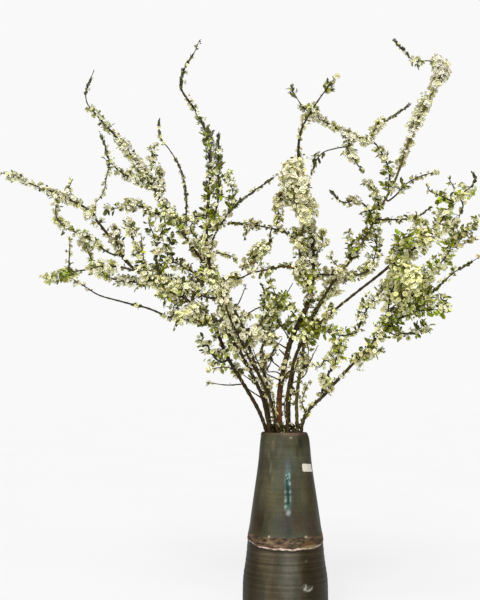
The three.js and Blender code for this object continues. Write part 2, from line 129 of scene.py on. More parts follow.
def rows_of(table):
    """Rows of a text table; a line that starts with spaces carries on the row before it."""
    return table.strip().replace("\n    ", " ").splitlines()


def read_stretches(text):
    """Stretches of a branch as (end share of its length, kind, reach, lean)."""
    stretches = []
    for stretch in text.split(","):
        percent, kind, reach, *lean = stretch.split()
        stretches.append((float(percent) / 100, kind, float(reach), float(lean[0]) if lean else 0.0))
    return stretches


def read_branches(table):
    """For each branch: the branch it grows on, if it isn't a main stem, and its stretches."""
    branches = {}
    for row in rows_of(table):
        names, stretches = row.split(": ")
        name, _, parent = names.partition(" on ")
        branches[name] = (parent, read_stretches(stretches))
    return branches


def read_twigs(table):
    """For each twig: the branch it grows on, its route and its stretches."""
    twigs = []
    for row in rows_of(table):
        parent, route, stretches = row.split(": ")
        knots = [[float(word) for word in knot.split()] for knot in route.split(",")]
        twigs.append((parent, np.array(knots) * MM, read_stretches(stretches)))
    return twigs


# For each CAD branch: the branch it grows on, and its stretches. A stretch says at what percent of the
# length it ends, its kind, how far flowers and leaves reach in mm, and its lean if it has one. A lean
# of 1 puts all of the growth on the left of somebody travelling along the branch, seen from the front,
# and -1 on the right.
BRANCHES = read_branches("""
long_left_stem: 44 bare 3, 46 green 11 -0.4, 48 thin 6, 54 mix 11, 58 shade 13, 62 shade 13 0.3,
    69 bloom 15, 71 thin 5, 74 sleeve 8, 78 mix 12 -0.5, 80 thin 6, 83.5 bloom 12, 85 buds 8, 90 bloom 12,
    93 bloom 8, 95.5 buds 6, 98.5 bloom 8, 100 buds 6
upper_left_stem: 40 bare 3, 43 thin 6, 50 dusk 13, 53 mix 9 0.4, 58 shade 15, 60 thin 7 0.3,
    63 bloom 13 -0.4, 65 thin 5, 68 green 12, 70 bloom 14, 75 bloom 11, 85 bloom 14, 88 bloom 9, 93 mix 9,
    94.5 bare 3, 98.5 sleeve 6, 100 bare 3
tall_left_stem: 40 bare 3, 45 thin 5, 53 bloom 11, 56 mix 10, 62 bloom 14, 66 mix 10, 70 green 10,
    84 mane 12 -0.2, 86 buds 6, 90 buds 8 -0.2, 97 sleeve 8 -0.2, 100 thin 4
back_stem: 50 green 7, 60 grey 8, 70 brown 11, 73 thin 5, 78 bloom 11 0.3, 85 green 14, 93 lush 18,
    100 bare 3
tall_centre_stem: 40 bare 3, 50 thin 5, 53 lush 16, 56 sleeve 10, 60 dusk 9, 65 brown 9, 70 bloom 9,
    76.5 cream 10 0.3, 82 cream 19 0.4, 84 bloom 10, 90 buds 5, 93 bloom 10, 95.5 bare 3, 98.5 mane 11,
    100 buds 6
tall_right_stem: 34 bare 3, 35.5 bloom 7, 40 thin 5, 42 bloom 12, 44 thin 5, 48.5 lush 14 -0.3,
    53 sleeve 10, 55 thin 5, 59 brown 14, 61 thin 5, 64 green 14 0.6, 67 green 13, 70 lush 17, 74 thin 6,
    76 green 9 0.5, 80 thin 4, 84 spray 9 0.2, 87 spray 12 -0.3, 97 spray 13 0.5, 100 cream 18
front_right_stem: 57 bare 3, 62 lush 14, 66 mix 9 0.5, 79 bare 3, 85 bloom 16, 88 bright 17,
    91 mix 12 -0.3, 94 green 12, 96 thin 6 0.3, 100 bright 14
low_right_stem: 52 bare 3, 58 sleeve 6, 61 thin 6 0.5, 65 grey 12 0.6, 73 thin 4, 80 green 14 -0.5,
    82 green 13, 87 lush 19 0.3, 94 lush 16 0.6, 100 lush 16 0.6
front_left_stem: 65 thin 5, 80 thin 6, 84 dusk 8, 93 dusk 12, 100 brown 11
back_right_stem: 78 bare 3, 84 lush 13, 90 sleeve 9, 100 mix 11
long_left_loop_shoot on long_left_stem: 22 thin 4, 50 bloom 8, 60 bloom 7 -0.3, 100 bloom 10
low_left_shoot on long_left_stem: 5 green 12, 13 shade 13 -0.5, 18 green 10 -0.3, 25 green 11 -0.5,
    30 buds 6 -0.3, 36 bare 3, 46 sleeve 7, 72 bare 3, 77 buds 5, 84 thin 4, 92 bloom 14 -0.3,
    100 bright 14
left_flat_shoot on long_left_stem: 30 thin 5, 60 bright 14, 78 thin 4, 100 lush 13
left_arc_shoot on long_left_stem: 8 mix 10, 20 green 9 0.3, 45 bloom 12, 54 thin 6, 75 bright 16,
    79 thin 5, 100 mix 11 0.3
left_inner_shoot on long_left_stem: 10 green 10, 42 green 8, 60 mix 10 0.3, 70 thin 6, 85 mix 12 0.2,
    100 green 10
left_upright_shoot on long_left_stem: 15 mix 9, 48 sleeve 6, 62 mix 10 -0.2, 82 green 9 0.3, 100 green 10
low_leafy_shoot on long_left_stem: 10 thin 5, 45 lush 16 0.2, 80 green 12 0.3, 100 green 7
upper_left_leafy_shoot on upper_left_stem: 10 bloom 11 -0.3, 30 bloom 12 -0.3, 45 bloom 8, 50 thin 5,
    58 green 12 0.6, 90 sleeve 6, 100 thin 4
left_crossing_shoot on upper_left_stem: 5 mix 8, 20 green 9 0.2, 48 bloom 10 0.2, 65 bloom 13 -0.2,
    75 mix 11 0.2, 83 mix 10 -0.3, 100 green 8
upper_left_inner_shoot on upper_left_stem: 8 thin 5, 38 bloom 10 0.5, 60 bloom 10, 76 mix 11 0.2,
    90 green 11 -0.3, 100 mix 9
left_bare_twig on upper_left_stem: 22 thin 5, 65 sleeve 6, 80 bare 3, 86 buds 5, 100 sleeve 6
centre_bare_shoot on upper_left_stem: 15 thin 6, 22 bloom 9, 33 bare 3, 48 green 13 0.7, 62 sleeve 7 0.3,
    94 sleeve 6, 100 thin 4
centre_flower_twig on centre_bare_shoot: 25 mix 10, 85 green 11, 100 bright 9
left_band_shoot on centre_bare_shoot: 25 mix 12 -0.3, 35 thin 5, 55 mix 10 0.3, 78 green 14 0.1,
    100 bloom 12 -0.2
mid_left_shoot on upper_left_stem: 15 green 10, 40 shade 12 0.2, 75 shade 13 0.2, 100 green 10
low_left_flower_shoot on upper_left_stem: 12 thin 6, 35 shade 12, 65 shade 12, 100 shade 12
inner_leafy_shoot on upper_left_stem: 10 thin 5, 30 dusk 9 0.3, 50 green 14 -0.3, 58 thin 6,
    80 green 11 0.5, 100 dusk 9
low_centre_shoot on upper_left_stem: 10 thin 5, 60 dusk 6, 100 dusk 7
tall_left_companion on tall_left_stem: 12 mix 9, 22 lush 13 -0.2, 30 thin 6, 90 mane 11 0.5, 100 sleeve 8
hanging_flower_shoot on tall_left_stem: 12 thin 5, 22 mix 8 -0.4, 50 shade 12 -0.3, 80 bloom 12 -0.3,
    100 mix 9
left_front_shoot on tall_left_stem: 25 dusk 10 -0.3, 45 shade 12 0.2, 66 bloom 14, 75 grey 9,
    86 green 12 -0.3, 95 thin 5, 100 bloom 9 0.3
back_flower_shoot on back_stem: 15 green 11, 25 grey 8 0.4, 45 bare 3, 72 dusk 10 0.2, 100 brown 13
thin_green_shoot on back_stem: 30 bloom 8 0.4, 50 green 11, 86 bare 3, 100 green 9
front_flower_shoot on front_left_stem: 10 thin 5, 30 dusk 10 -0.3, 42 cream 11 -0.3, 58 thin 5,
    74 dusk 10, 90 green 14, 100 green 12
crown_shoot on tall_centre_stem: 15 cream 9 0.2, 30 cream 14, 74 cream 22, 88 cream 24, 100 cream 21
crown_hanging_shoot on tall_centre_stem: 15 brown 9, 55 brown 11 0.4, 100 cream 12
column_shoot on tall_centre_stem: 8 green 10, 20 dusk 10, 40 mix 11, 50 dusk 8, 62 cream 7 0.2,
    82 cream 14, 93 bloom 13 0.2, 100 cream 14
flat_centre_branch on tall_centre_stem: 5 thin 5, 20 brown 12 -0.4, 33 cream 13 -0.6, 48 sleeve 6,
    56 brown 10 -0.5, 64 thin 5, 82 brown 9 -0.2, 100 sleeve 6
hanging_centre_shoot on flat_centre_branch: 12 thin 4, 42 sleeve 7, 72 bloom 15 -0.3, 100 brown 13
low_flat_branch on tall_centre_stem: 18 bright 16, 28 bloom 14 -0.4, 48 sleeve 7, 53 thin 6,
    66 mix 14 -0.2, 74 thin 6, 86 bloom 12, 100 brown 14 0.3
centre_right_shoot on tall_centre_stem: 30 dusk 10, 100 brown 12
arching_shoot on tall_right_stem: 14 lush 13, 30 mix 10 0.1, 35.5 bare 3, 40 bloom 10 -0.4,
    54 spray 10 0.2, 80 spray 9, 87.5 bloom 9, 91 bare 3, 100 mane 7
arch_right_shoot on arching_shoot: 12 mix 10, 20 thin 5, 45 cream 10, 72 sleeve 7, 95 sleeve 7 0.3,
    100 thin 4
arch_hanging_shoot on arching_shoot: 20 mix 9, 45 bright 12, 75 cream 9 0.1, 100 thin 5
arch_bare_twig on arch_hanging_shoot: 5 mix 8, 42 bare 3, 78 green 9 -0.1, 100 sleeve 7
right_upper_shoot on tall_right_stem: 28 bare 3, 48 green 10 0.4, 56 bare 3, 78 grey 7 0.1, 97 buds 5,
    100 bare 3
left_curl_shoot on tall_right_stem: 20 lush 15 0.2, 30 thin 6, 72 grey 9 -0.2, 100 sleeve 7 0.2
right_grey_shoot on tall_right_stem: 10 mix 9, 55 grey 8, 62 thin 5, 74 bloom 12 -0.4, 97 sleeve 7 0.5,
    100 thin 4
right_loop_shoot on tall_right_stem: 10 brown 9, 30 bloom 12 0.2, 65 bloom 15 0.1, 78 green 9 0.3,
    95 green 14, 100 mix 9
tip_twig on tall_right_stem: 15 cream 14, 30 bare 3, 55 green 9 -0.2, 95 sleeve 7, 100 thin 4
right_leaf_shoot on front_right_stem: 100 lush 14
right_brown_shoot on front_right_stem: 40 brown 15, 100 mix 13
low_inner_shoot on low_right_stem: 25 grey 10, 62 sleeve 7, 100 bright 14 0.3
right_dark_shoot on low_right_stem: 15 lush 17, 42 green 18, 100 gold 17
bright_shoot on low_right_stem: 38 gold 16, 60 bright 17 0.2, 65.5 green 10, 80 lush 18 0.2, 92 dusk 13,
    100 thin 6 0.3
right_bare_branch on low_right_stem: 10 lush 14, 18 lush 13 0.2, 30 lush 14 0.2, 62 sleeve 7 0.2,
    70 green 9 0.6, 85 sleeve 7 -0.3, 100 thin 4
bright_low_shoot on low_right_stem: 25 lush 15, 55 lush 15, 75 gold 14 0.2, 100 lush 15
right_flower_branch on back_right_stem: 6 thin 5, 38 lush 13 0.1, 44 sleeve 6, 60 dusk 12 0.3,
    76 lush 16 0.3, 100 mix 16
""")

# How the leaves of each group differ from the colours above, and how grey its growth turns at the far
# left and high up.
LEAF_CASTS = {
    "long_left_stem": ((1.04, 1.00, 0.9), 0.6),
    "upper_left_stem": ((1.04, 0.98, 0.9), 0.85),
    "tall_left_stem": ((0.96, 0.92, 0.9), 1.0),
    "back_stem": ((1.04, 0.98, 0.8), 0.0),
    "tall_centre_stem": ((1.06, 0.98, 0.8), 0.2),
    "tall_right_stem": ((1.10, 0.98, 0.9), 0.8),
    "front_right_stem": ((1.15, 1.10, 0.95), 0.4),
    "low_right_stem": ((1.05, 1.02, 0.9), 0.0),
    "front_left_stem": ((1.04, 0.98, 0.8), 0.0),
    "back_right_stem": ((1.05, 1.00, 0.9), 0.0),
}
GREYING = (0.25, 0.36)      # metres to the left of the axis where growth starts and ends turning grey
GREYING_RISE = 0.62         # and how much higher up than that
LEAF_GREYING = 1.5          # how much more blue the greyest leaves have
PETAL_GREYING = 0.20
INNER_PETAL_SHADE = np.array([0.70, 0.69, 0.42])    # painted shade on petals deep in a tuft, against those outside

# Small twigs that have no CAD node of their own: the branch they grow on, their route in mm from
# near that branch to their tip, and their stretches.
TWIGS = read_twigs("""
long_left_stem: -90 -20 515, -120 -30 515, -160 -45 520: 85 bare 3, 100 buds 7
upper_left_leafy_shoot: -410 100 1035, -415 95 995, -420 90 960, -445 85 920: 100 buds 5
tall_right_stem: 155 100 805, 150 80 820, 145 60 840, 140 50 855: 100 green 9
front_right_stem: 325 -150 865, 295 -170 870, 275 -180 875, 265 -190 885: 60 green 8, 100 thin 4
low_right_stem: 140 -40 560, 155 -60 575, 175 -80 580, 185 -90 580: 100 mix 10
bright_shoot: 355 20 830, 375 5 835, 390 -10 845, 400 -20 865: 100 green 9
tall_right_stem: 215 110 920, 210 95 945, 200 80 955, 185 70 975: 100 bloom 8
tall_centre_stem: 65 5 790, 75 -15 800, 80 -30 810, 75 -50 830: 50 thin 5, 100 bloom 12
low_right_stem: 210 -55 630, 240 -40 620, 270 -25 625, 295 -15 640: 35 grey 8, 60 sleeve 6, 100 green 11
low_right_stem: 205 -60 620, 225 -70 612, 245 -80 612: 100 grey 6
long_left_stem: -460 -65 905, -455 -65 920, -450 -65 935, -445 -65 945: 100 buds 6
left_flat_shoot: -435 -105 750, -435 -105 770, -435 -105 790, -435 -105 810: 100 buds 6
long_left_stem: -345 -60 780, -345 -65 800, -350 -70 820, -350 -75 840: 30 thin 5, 100 brown 10
long_left_stem: -290 -45 745, -295 -40 770, -300 -35 800, -305 -30 835: 100 thin 5
centre_bare_shoot: -175 85 820, -150 90 815, -125 90 810, -110 90 800: 50 thin 4, 100 buds 7
upper_left_stem: -110 90 680, -105 80 695, -95 75 715, -85 70 740: 60 bare 3, 100 thin 4
tall_left_stem: -70 -50 545, -90 -55 545, -120 -60 550, -155 -65 545: 50 thin 4, 80 bare 3, 100 buds 9
tall_left_stem: -40 -35 490, -65 -30 500, -85 -20 515: 100 bare 3
tall_left_stem: -50 -40 515, -70 -50 525, -90 -60 540: 100 thin 4
tall_centre_stem: -5 5 525, -20 -10 530, -40 -15 540, -60 -20 565: 100 bare 3
tall_centre_stem: 0 5 545, -20 10 560, -30 15 570, -50 20 590: 50 bare 3, 100 thin 6
tall_centre_stem: 5 5 575, -10 15 590, -20 25 600, -35 30 610: 50 bare 3, 100 thin 5
tall_centre_stem: 10 5 590, -10 -10 600, -20 -20 605, -30 -30 615: 40 bare 3, 100 mix 8
back_stem: -45 55 540, -30 40 565, -25 30 590, -20 25 600: 100 bare 3
tall_centre_stem: 15 5 610, 0 20 630, -15 25 655, -20 30 675: 70 bare 3, 100 green 7
back_stem: -40 100 630, -30 95 650, -20 90 670: 100 bare 3
tall_right_stem: 25 30 505, 10 25 500, 0 15 480, 0 10 450: 100 green 6
low_right_stem: 40 -20 460, 35 -25 480, 40 -30 500, 50 -30 525: 100 grey 5
low_inner_shoot: 95 -50 560, 80 -60 565, 70 -70 550, 55 -65 555: 30 bare 3, 100 buds 7
low_right_stem: 90 -30 505, 85 -40 520, 70 -50 535: 40 thin 4, 100 buds 8
tall_right_stem: 35 50 565, 30 35 565, 15 25 555: 100 bloom 9
right_loop_shoot: 115 140 790, 110 130 805, 105 125 820: 60 bare 3, 100 buds 7
front_right_stem: 335 -140 875, 330 -140 890, 325 -140 900, 320 -135 915: 60 thin 4, 100 green 6
front_right_stem: 340 -140 870, 345 -135 860, 340 -130 845, 335 -125 825: 30 bare 3, 100 grey 5
front_right_stem: 360 -140 900, 370 -135 910, 365 -135 925: 100 sleeve 5
bright_shoot: 355 20 825, 365 10 815, 380 0 815, 398 -10 825: 100 grey 6
bright_shoot: 355 20 825, 375 5 835, 390 -10 840, 400 -25 840: 100 grey 6
tall_centre_stem: 35 -5 908, 22 -15 915, 5 -25 905: 100 cream 12
right_dark_shoot: 225 -112 745, 222 -152 740, 234 -170 718, 252 -168 694: 25 bright 10, 100 gold 16
bright_shoot: 245 -60 680, 228 -115 680, 222 -148 704, 240 -162 728: 30 lush 12, 100 gold 15
low_right_stem: 305 -62 668, 312 -66 680, 316 -70 690, 308 -70 698: 100 green 10
mid_left_shoot: -255 30 780, -255 20 800, -250 20 825, -240 10 840: 100 green 8
left_upright_shoot: -260 -85 795, -265 -95 815, -275 -100 840, -270 -100 860: 100 green 6
long_left_stem: -250 -40 715, -255 -50 700, -245 -60 685: 100 mix 9
low_left_shoot: -230 0 655, -235 -10 675, -230 -15 690: 100 green 9
back_stem: -5 190 720, -25 185 735, -45 180 740, -55 175 755: 100 sleeve 5
back_stem: -20 180 705, -25 170 740, -35 170 775: 55 bare 3, 100 green 8
back_stem: -50 70 560, -40 55 575, -25 45 580, -15 40 595: 100 grey 6
tall_centre_stem: 0 5 535, 15 -10 545, 25 -20 560, 30 -25 580: 100 grey 6
back_stem: -20 120 640, -35 125 655, -30 125 680, -15 125 695: 100 green 9
tall_right_stem: 30 40 545, 45 30 565, 50 20 590, 45 15 610: 100 grey 7
flat_centre_branch: -85 70 875, -85 65 860, -90 60 840: 60 mix 7, 100 thin 5
upper_left_stem: -60 35 545, -80 20 555, -95 10 575, -110 0 595: 100 bare 3
back_stem: -40 50 530, -50 40 550, -60 40 570, -70 45 600: 60 bare 3, 100 thin 5
tall_centre_stem: -10 0 515, 5 -20 540, 30 -35 555: 100 thin 5
tall_centre_stem: -5 5 535, -20 40 545, -50 50 545, -75 60 555: 100 bare 3
back_stem: -45 50 540, -45 30 555, -25 20 585, -5 10 615: 100 bare 3
front_right_stem: 10 -45 515, 35 -40 530, 45 -30 550, 30 -20 590: 50 bare 3, 100 grey 6
back_stem: -30 125 665, -38 120 700, -50 120 740: 40 green 8, 80 lush 12, 100 thin 5
tall_centre_stem: 30 8 650, 10 -20 675, -2 -30 695: 100 lush 12
back_stem: -45 90 612, -35 100 620, -20 80 640, 5 60 655: 50 bare 3, 100 green 10
tall_right_stem: 33 43 548, 50 20 560, 60 5 580, 70 10 600: 100 bare 3
""")

# Wood near the vase, and higher up. Other stems are of dark wood all along, and other shoots of grey.
WOOD_TINTS = {
    "tall_centre_stem": (RED_WOOD, DARK_WOOD),
    "front_left_stem": (RED_WOOD, DARK_WOOD),
    "back_stem": (RED_WOOD, DARK_WOOD),
    "tall_right_stem": (OLIVE_WOOD, OLIVE_WOOD),
    "back_right_stem": (OLIVE_WOOD, DARK_WOOD),
    "low_flat_branch": (RED_WOOD, DARK_WOOD),
    "flat_centre_branch": (OLIVE_WOOD, DARK_WOOD),
}
TWIG_WOOD = (0.038, 0.027, 0.014)

# ---------------------------------------------------------------- small sums

def unit(rows):
    """The same directions with length one."""
    rows = np.asarray(rows, float)
    length = np.linalg.norm(rows, axis=-1, keepdims=True)
    return rows / np.maximum(length, 1e-12)


def smooth_step(value, start, end):
    """0 before start, 1 after end, and a smooth rise between them."""
    share = np.clip((value - start) / (end - start), 0.0, 1.0)
    return share * share * (3.0 - 2.0 * share)


def between(start, end, share):
    """start where the share is 0, end where it is 1."""
    return start * (1 - share) + end * share


def ring_angles(sides):
    return np.arange(sides) * 2 * math.pi / sides


# ---------------------------------------------------------------- lines of the CAD branches

def merged_mesh(node):
    """Places of a CAD node's vertices without doubles, and its triangles."""
    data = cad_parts[node].data
    places = np.empty(len(data.vertices) * 3)
    data.vertices.foreach_get("co", places)
    data.calc_loop_triangles()
    triangles = np.empty(len(data.loop_triangles) * 3, dtype=np.int32)
    data.loop_triangles.foreach_get("vertices", triangles)
    kept, index = np.unique(np.round(places.reshape(-1, 3), 6), axis=0, return_inverse=True)
    return kept, index.reshape(-1)[triangles].reshape(-1, 3)


FLAT = 0.9995    # cosine of the largest tilt between the triangles of a flat cap


def cap_centres(places, triangles, sides):
    """Vertices in the middle of a flat end cap of a tube."""
    first, second, third = (places[triangles[:, corner]] for corner in range(3))
    normals = unit(np.cross(second - first, third - first))
    found = []
    for vertex in range(len(places)):
        around = normals[(triangles == vertex).any(axis=1)]
        if len(around) == sides and (around @ unit(around.mean(axis=0))).min() > FLAT:
            found.append(vertex)
    return found


def ring_line(node, sides):
    """Middles and radii of the rings of a CAD tube, from its lower end to its tip."""
    places, triangles = merged_mesh(node)
    neighbours = [set() for _ in places]
    for a, b, c in triangles:
        neighbours[a] |= {b, c}
        neighbours[b] |= {a, c}
        neighbours[c] |= {a, b}
    caps = cap_centres(places, triangles, sides)
    tip = max(caps, key=lambda vertex: places[vertex][2]) if len(caps) > 1 else caps[0]
    seen = {tip}
    ring = [tip]
    middles = []
    radii = []
    while True:
        ring = sorted({near for vertex in ring for near in neighbours[vertex]} - seen)
        if len(ring) != sides:
            break
        seen |= set(ring)
        middle = places[ring].mean(axis=0)
        middles.append(middle)
        radii.append(np.linalg.norm(places[ring] - middle, axis=1).mean())
    return np.array(middles[::-1]), np.array(radii[::-1])


class Path:
    """A branch's line as even points, with their directions, frames and CAD radii."""

    STEP = 4.0 * MM

    def __init__(self, knots, radii):
        fine, fine_radii = self.curve(np.asarray(knots, float), np.asarray(radii, float))
        along = np.concatenate([[0.0], np.cumsum(np.linalg.norm(np.diff(fine, axis=0), axis=1))])
        self.length = along[-1]
        count = max(6, int(self.length / self.STEP))
        marks = np.linspace(0.0, self.length, count)
        self.points = np.stack([np.interp(marks, along, fine[:, axis]) for axis in range(3)], axis=1)
        self.radii = np.interp(marks, along, fine_radii)
        self.shares = marks / self.length
        self.turn_frames()

    @staticmethod
    def curve(knots, radii, cuts=10):
        """A Catmull-Rom curve through the knots."""
        padded = np.concatenate([[2 * knots[0] - knots[1]], knots, [2 * knots[-1] - knots[-2]]])
        rows = []
        widths = []
        for index in range(len(knots) - 1):
            before, start, end, after = padded[index:index + 4]
            for t in np.arange(cuts) / cuts:
                rows.append(0.5 * (2 * start + (end - before) * t
                                   + (2 * before - 5 * start + 4 * end - after) * t ** 2
                                   + (3 * start - before - 3 * end + after) * t ** 3))
                widths.append(between(radii[index], radii[index + 1], t))
        rows.append(knots[-1])
        widths.append(radii[-1])
        return np.array(rows), np.array(widths)

    def turn_frames(self):
        """Directions along the line, and two directions across it that don't twist."""
        self.tangents = unit(np.gradient(self.points, axis=0))
        across = unit(np.cross(self.tangents[0], [0.3, 1.0, 0.2]))
        self.across = np.empty_like(self.points)
        for index, tangent in enumerate(self.tangents):
            across = unit(across - tangent * (across @ tangent))
            self.across[index] = across
        self.over = np.cross(self.tangents, self.across)

    def at(self, share, rows):
        """Value of one of the rows above at a share of the length."""
        place = share * (len(rows) - 1)
        low = min(int(place), len(rows) - 2)
        return rows[low] + (rows[low + 1] - rows[low]) * (place - low)

    def nearest(self, place):
        return int(np.argmin(np.linalg.norm(self.points - place, axis=1)))


def branch_paths():
    """A path for every CAD branch; a shoot's line is carried on into the branch it grows on."""
    paths = {}
    for name, (parent, _) in BRANCHES.items():
        middles, radii = ring_line(name, SHOOT_SIDES if parent else STEM_SIDES)
        if parent:
            start = paths[parent].points[paths[parent].nearest(middles[0])]
            middles = np.vstack([start, middles])
            radii = np.concatenate([[radii[0]], radii])
        paths[name] = Path(middles, radii)
    return paths


# ---------------------------------------------------------------- building meshes

def added(name, data):
    """A new object in the scene."""
    thing = bpy.data.objects.new(name, data)
    bpy.context.collection.objects.link(thing)
    return thing


def claim(piece, nodes):
    """Say what a piece rides on and which CAD nodes it replaces."""
    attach(piece, "root")
    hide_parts(*nodes)


class Heap:
    """Vertices, triangles and colours gathered for one piece."""

    def __init__(self):
        self.places = []
        self.faces = []
        self.tints = []
        self.rims = []
        self.count = 0

    def add(self, places, faces, tints, rims=None):
        self.places.append(places)
        self.faces.append(faces + self.count)
        self.tints.append(tints)
        self.rims.append(np.zeros(len(places), bool) if rims is None else rims)
        self.count += len(places)

    def piece(self, name, material):
        """A mesh object; edges between two rim vertices stay sharp."""
        places = np.concatenate(self.places)
        faces = np.concatenate(self.faces).astype(np.int32)
        mesh = bpy.data.meshes.new(name)
        mesh.vertices.add(len(places))
        mesh.vertices.foreach_set("co", places.astype(np.float32).ravel())
        mesh.loops.add(faces.size)
        mesh.loops.foreach_set("vertex_index", faces.ravel())
        mesh.polygons.add(len(faces))
        mesh.polygons.foreach_set("loop_start", np.arange(0, faces.size, 3, dtype=np.int32))
        mesh.polygons.foreach_set("use_smooth", np.ones(len(faces), bool))
        mesh.update(calc_edges=True)
        rims = np.concatenate(self.rims)
        ends = np.empty(len(mesh.edges) * 2, dtype=np.int32)
        mesh.edges.foreach_get("vertices", ends)
        sharp = rims[ends.reshape(-1, 2)].all(axis=1)
        mesh.attributes.new("sharp_edge", "BOOLEAN", "EDGE").data.foreach_set("value", sharp)
        tints = np.concatenate(self.tints)
        colours = np.concatenate([tints, np.ones((len(tints), 1))], axis=1).astype(np.float32)
        mesh.attributes.new("tint", "FLOAT_COLOR", "POINT").data.foreach_set("color", colours.ravel())
        mesh.materials.append(material)
        return added(name, mesh)


def capped_wall(rows, sides):
    """Triangles of rows of vertices round an axis. The middles of the first and last row follow them."""
    here = np.arange(sides)
    after = (here + 1) % sides
    low = np.arange(rows - 1)[:, None] * sides
    high = low + sides
    corners = [low + here, low + after, high + after, low + here, high + after, high + here]
    walls = np.stack(corners, axis=-1).reshape(-1, 3)
    first_middle = np.full(sides, rows * sides)
    last = (rows - 1) * sides
    start_cap = np.stack([first_middle, after, here], axis=1)
    end_cap = np.stack([first_middle + 1, last + here, last + after], axis=1)
    return np.vstack([walls, start_cap, end_cap])


def double_fan(ring, low, high):
    """Triangles from a ring of vertices to one below it and one above it."""
    faces = []
    for here, after in zip(ring, [*ring[1:], ring[0]]):
        faces += [(low, after, here), (high, here, after)]
    return faces


def turned(rows, angle, first, second):
    """The rows turned by an angle in the plane of two of their axes."""
    moved = rows.copy()
    moved[:, first] = rows[:, first] * math.cos(angle) - rows[:, second] * math.sin(angle)
    moved[:, second] = rows[:, first] * math.sin(angle) + rows[:, second] * math.cos(angle)
    return moved


PETAL_OUTLINE = [(0.08, 0.0), (0.78, 0.52), (1.04, 0.0), (0.78, -0.52)]
PETAL_MIDDLE = (0.62, 0.0, 0.13)
PETAL_COUNT = 5
HEART_SIDES = 4


def flower_template(lift):
    """Vertices, triangles, paint, share of petal tint and rim flags of a flower of radius 1.

    Each petal is a thin closed cushion. lift is the angle that the petals stand up.
    """
    petal = np.array([(x, y, 0.10 * x * x) for x, y in PETAL_OUTLINE] + [PETAL_MIDDLE])
    petal = turned(petal, lift, 0, 2)
    edge = len(PETAL_OUTLINE)
    places, faces = [], []
    for index in range(PETAL_COUNT):
        overlap = [0, 0, 0.05 * (index % 2)]
        places.append(turned(petal, 2 * math.pi * index / PETAL_COUNT, 0, 1) + overlap)
        first = index * len(petal)
        faces += [(first + edge, first + side, first + (side + 1) % edge) for side in range(edge)]
        faces += [(first, first + side + 1, first + side) for side in range(1, edge - 1)]
    top = PETAL_COUNT * len(petal)
    bottom = top + 1 + HEART_SIDES
    ring = [(0.27 * math.cos(angle), 0.27 * math.sin(angle), 0.05) for angle in ring_angles(HEART_SIDES)]
    places.append([(0, 0, 0.28), *ring, (0, 0, -0.42)])
    faces += double_fan(range(top + 1, bottom), bottom, top)
    paint = np.array([PETAL_FOOT] * top + [STAMENS] + [HEART] * HEART_SIDES + [CALYX])
    no_share = np.zeros(HEART_SIDES + 2)
    share = np.concatenate([np.tile([0.2] + [1.0] * edge, PETAL_COUNT), no_share])
    rims = np.concatenate([np.tile([True] * edge + [False], PETAL_COUNT), no_share > 0])
    return np.vstack(places), np.array(faces), paint, share, rims


LEAF_RIM = 6    # the first vertices of a leaf run round its edge


def leaf_template(curl):
    """A narrow leaf along +X, of length 1 and folded on its midrib, as a thin closed blade."""
    rows = np.array([
        (0.0, 0.0, 0.0), (0.36, 0.25, 0.08), (0.76, 0.20, 0.08),
        (1.0, 0.0, 0.0), (0.76, -0.20, 0.08), (0.36, -0.25, 0.08),
        (0.52, 0.0, 0.02), (0.52, 0.0, -0.03)])
    rows[:, 2] -= curl * rows[:, 0] ** 2
    faces = double_fan(range(LEAF_RIM), LEAF_RIM, LEAF_RIM + 1)
    return rows, np.array(faces), np.arange(len(rows)) < LEAF_RIM


def bud_template():
    """A small closed bud standing along +Z, of radius 1."""
    ring = [(0.85 * math.cos(angle), 0.85 * math.sin(angle), 0.1) for angle in ring_angles(4)]
    return np.array([(0, 0, -1.0), *ring, (0, 0, 1.1)]), np.array(double_fan(range(1, 5), 0, 5))


def stamp(heap, template, places, axes, sizes, tints, rims=None):
    """Add a copy of the template at each place. axes are (n, 3, 3), with the local axes as rows.

    tints are one for each copy, or one for each vertex of each copy.
    """
    shape, faces = template
    if shape.ndim == 2:
        shape = np.broadcast_to(shape, (len(places), *shape.shape))
    count = shape.shape[1]
    if tints.ndim == 2:
        tints = np.repeat(tints[:, None, :], count, axis=1)
    moved = np.einsum("nvk,nkj->nvj", shape * sizes[:, None, None], axes) + places[:, None, :]
    all_faces = (faces[None] + np.arange(len(places))[:, None, None] * count).reshape(-1, 3)
    all_rims = None if rims is None else np.tile(rims, len(places))
    heap.add(moved.reshape(-1, 3), all_faces, tints.reshape(-1, 3), all_rims)


def axes_along(directions, towards):
    """Local axes with +X along each direction and +Z as near as it can be to towards."""
    x = unit(directions)
    z = unit(towards - x * np.sum(towards * x, axis=1, keepdims=True))
    return np.stack([x, np.cross(z, x), z], axis=1)


def axes_facing(directions, rolls):
    """Local axes with +Z along each direction, turned about it by the rolls."""
    z = unit(directions)
    helper = np.where(np.abs(z[:, 2:3]) < 0.9, UP, [1.0, 0.0, 0.0])
    x = unit(np.cross(helper, z))
    y = np.cross(z, x)
    cos, sin = np.cos(rolls)[:, None], np.sin(rolls)[:, None]
    return np.stack([x * cos + y * sin, y * cos - x * sin, z], axis=1)


# ---------------------------------------------------------------- what grows on the branches

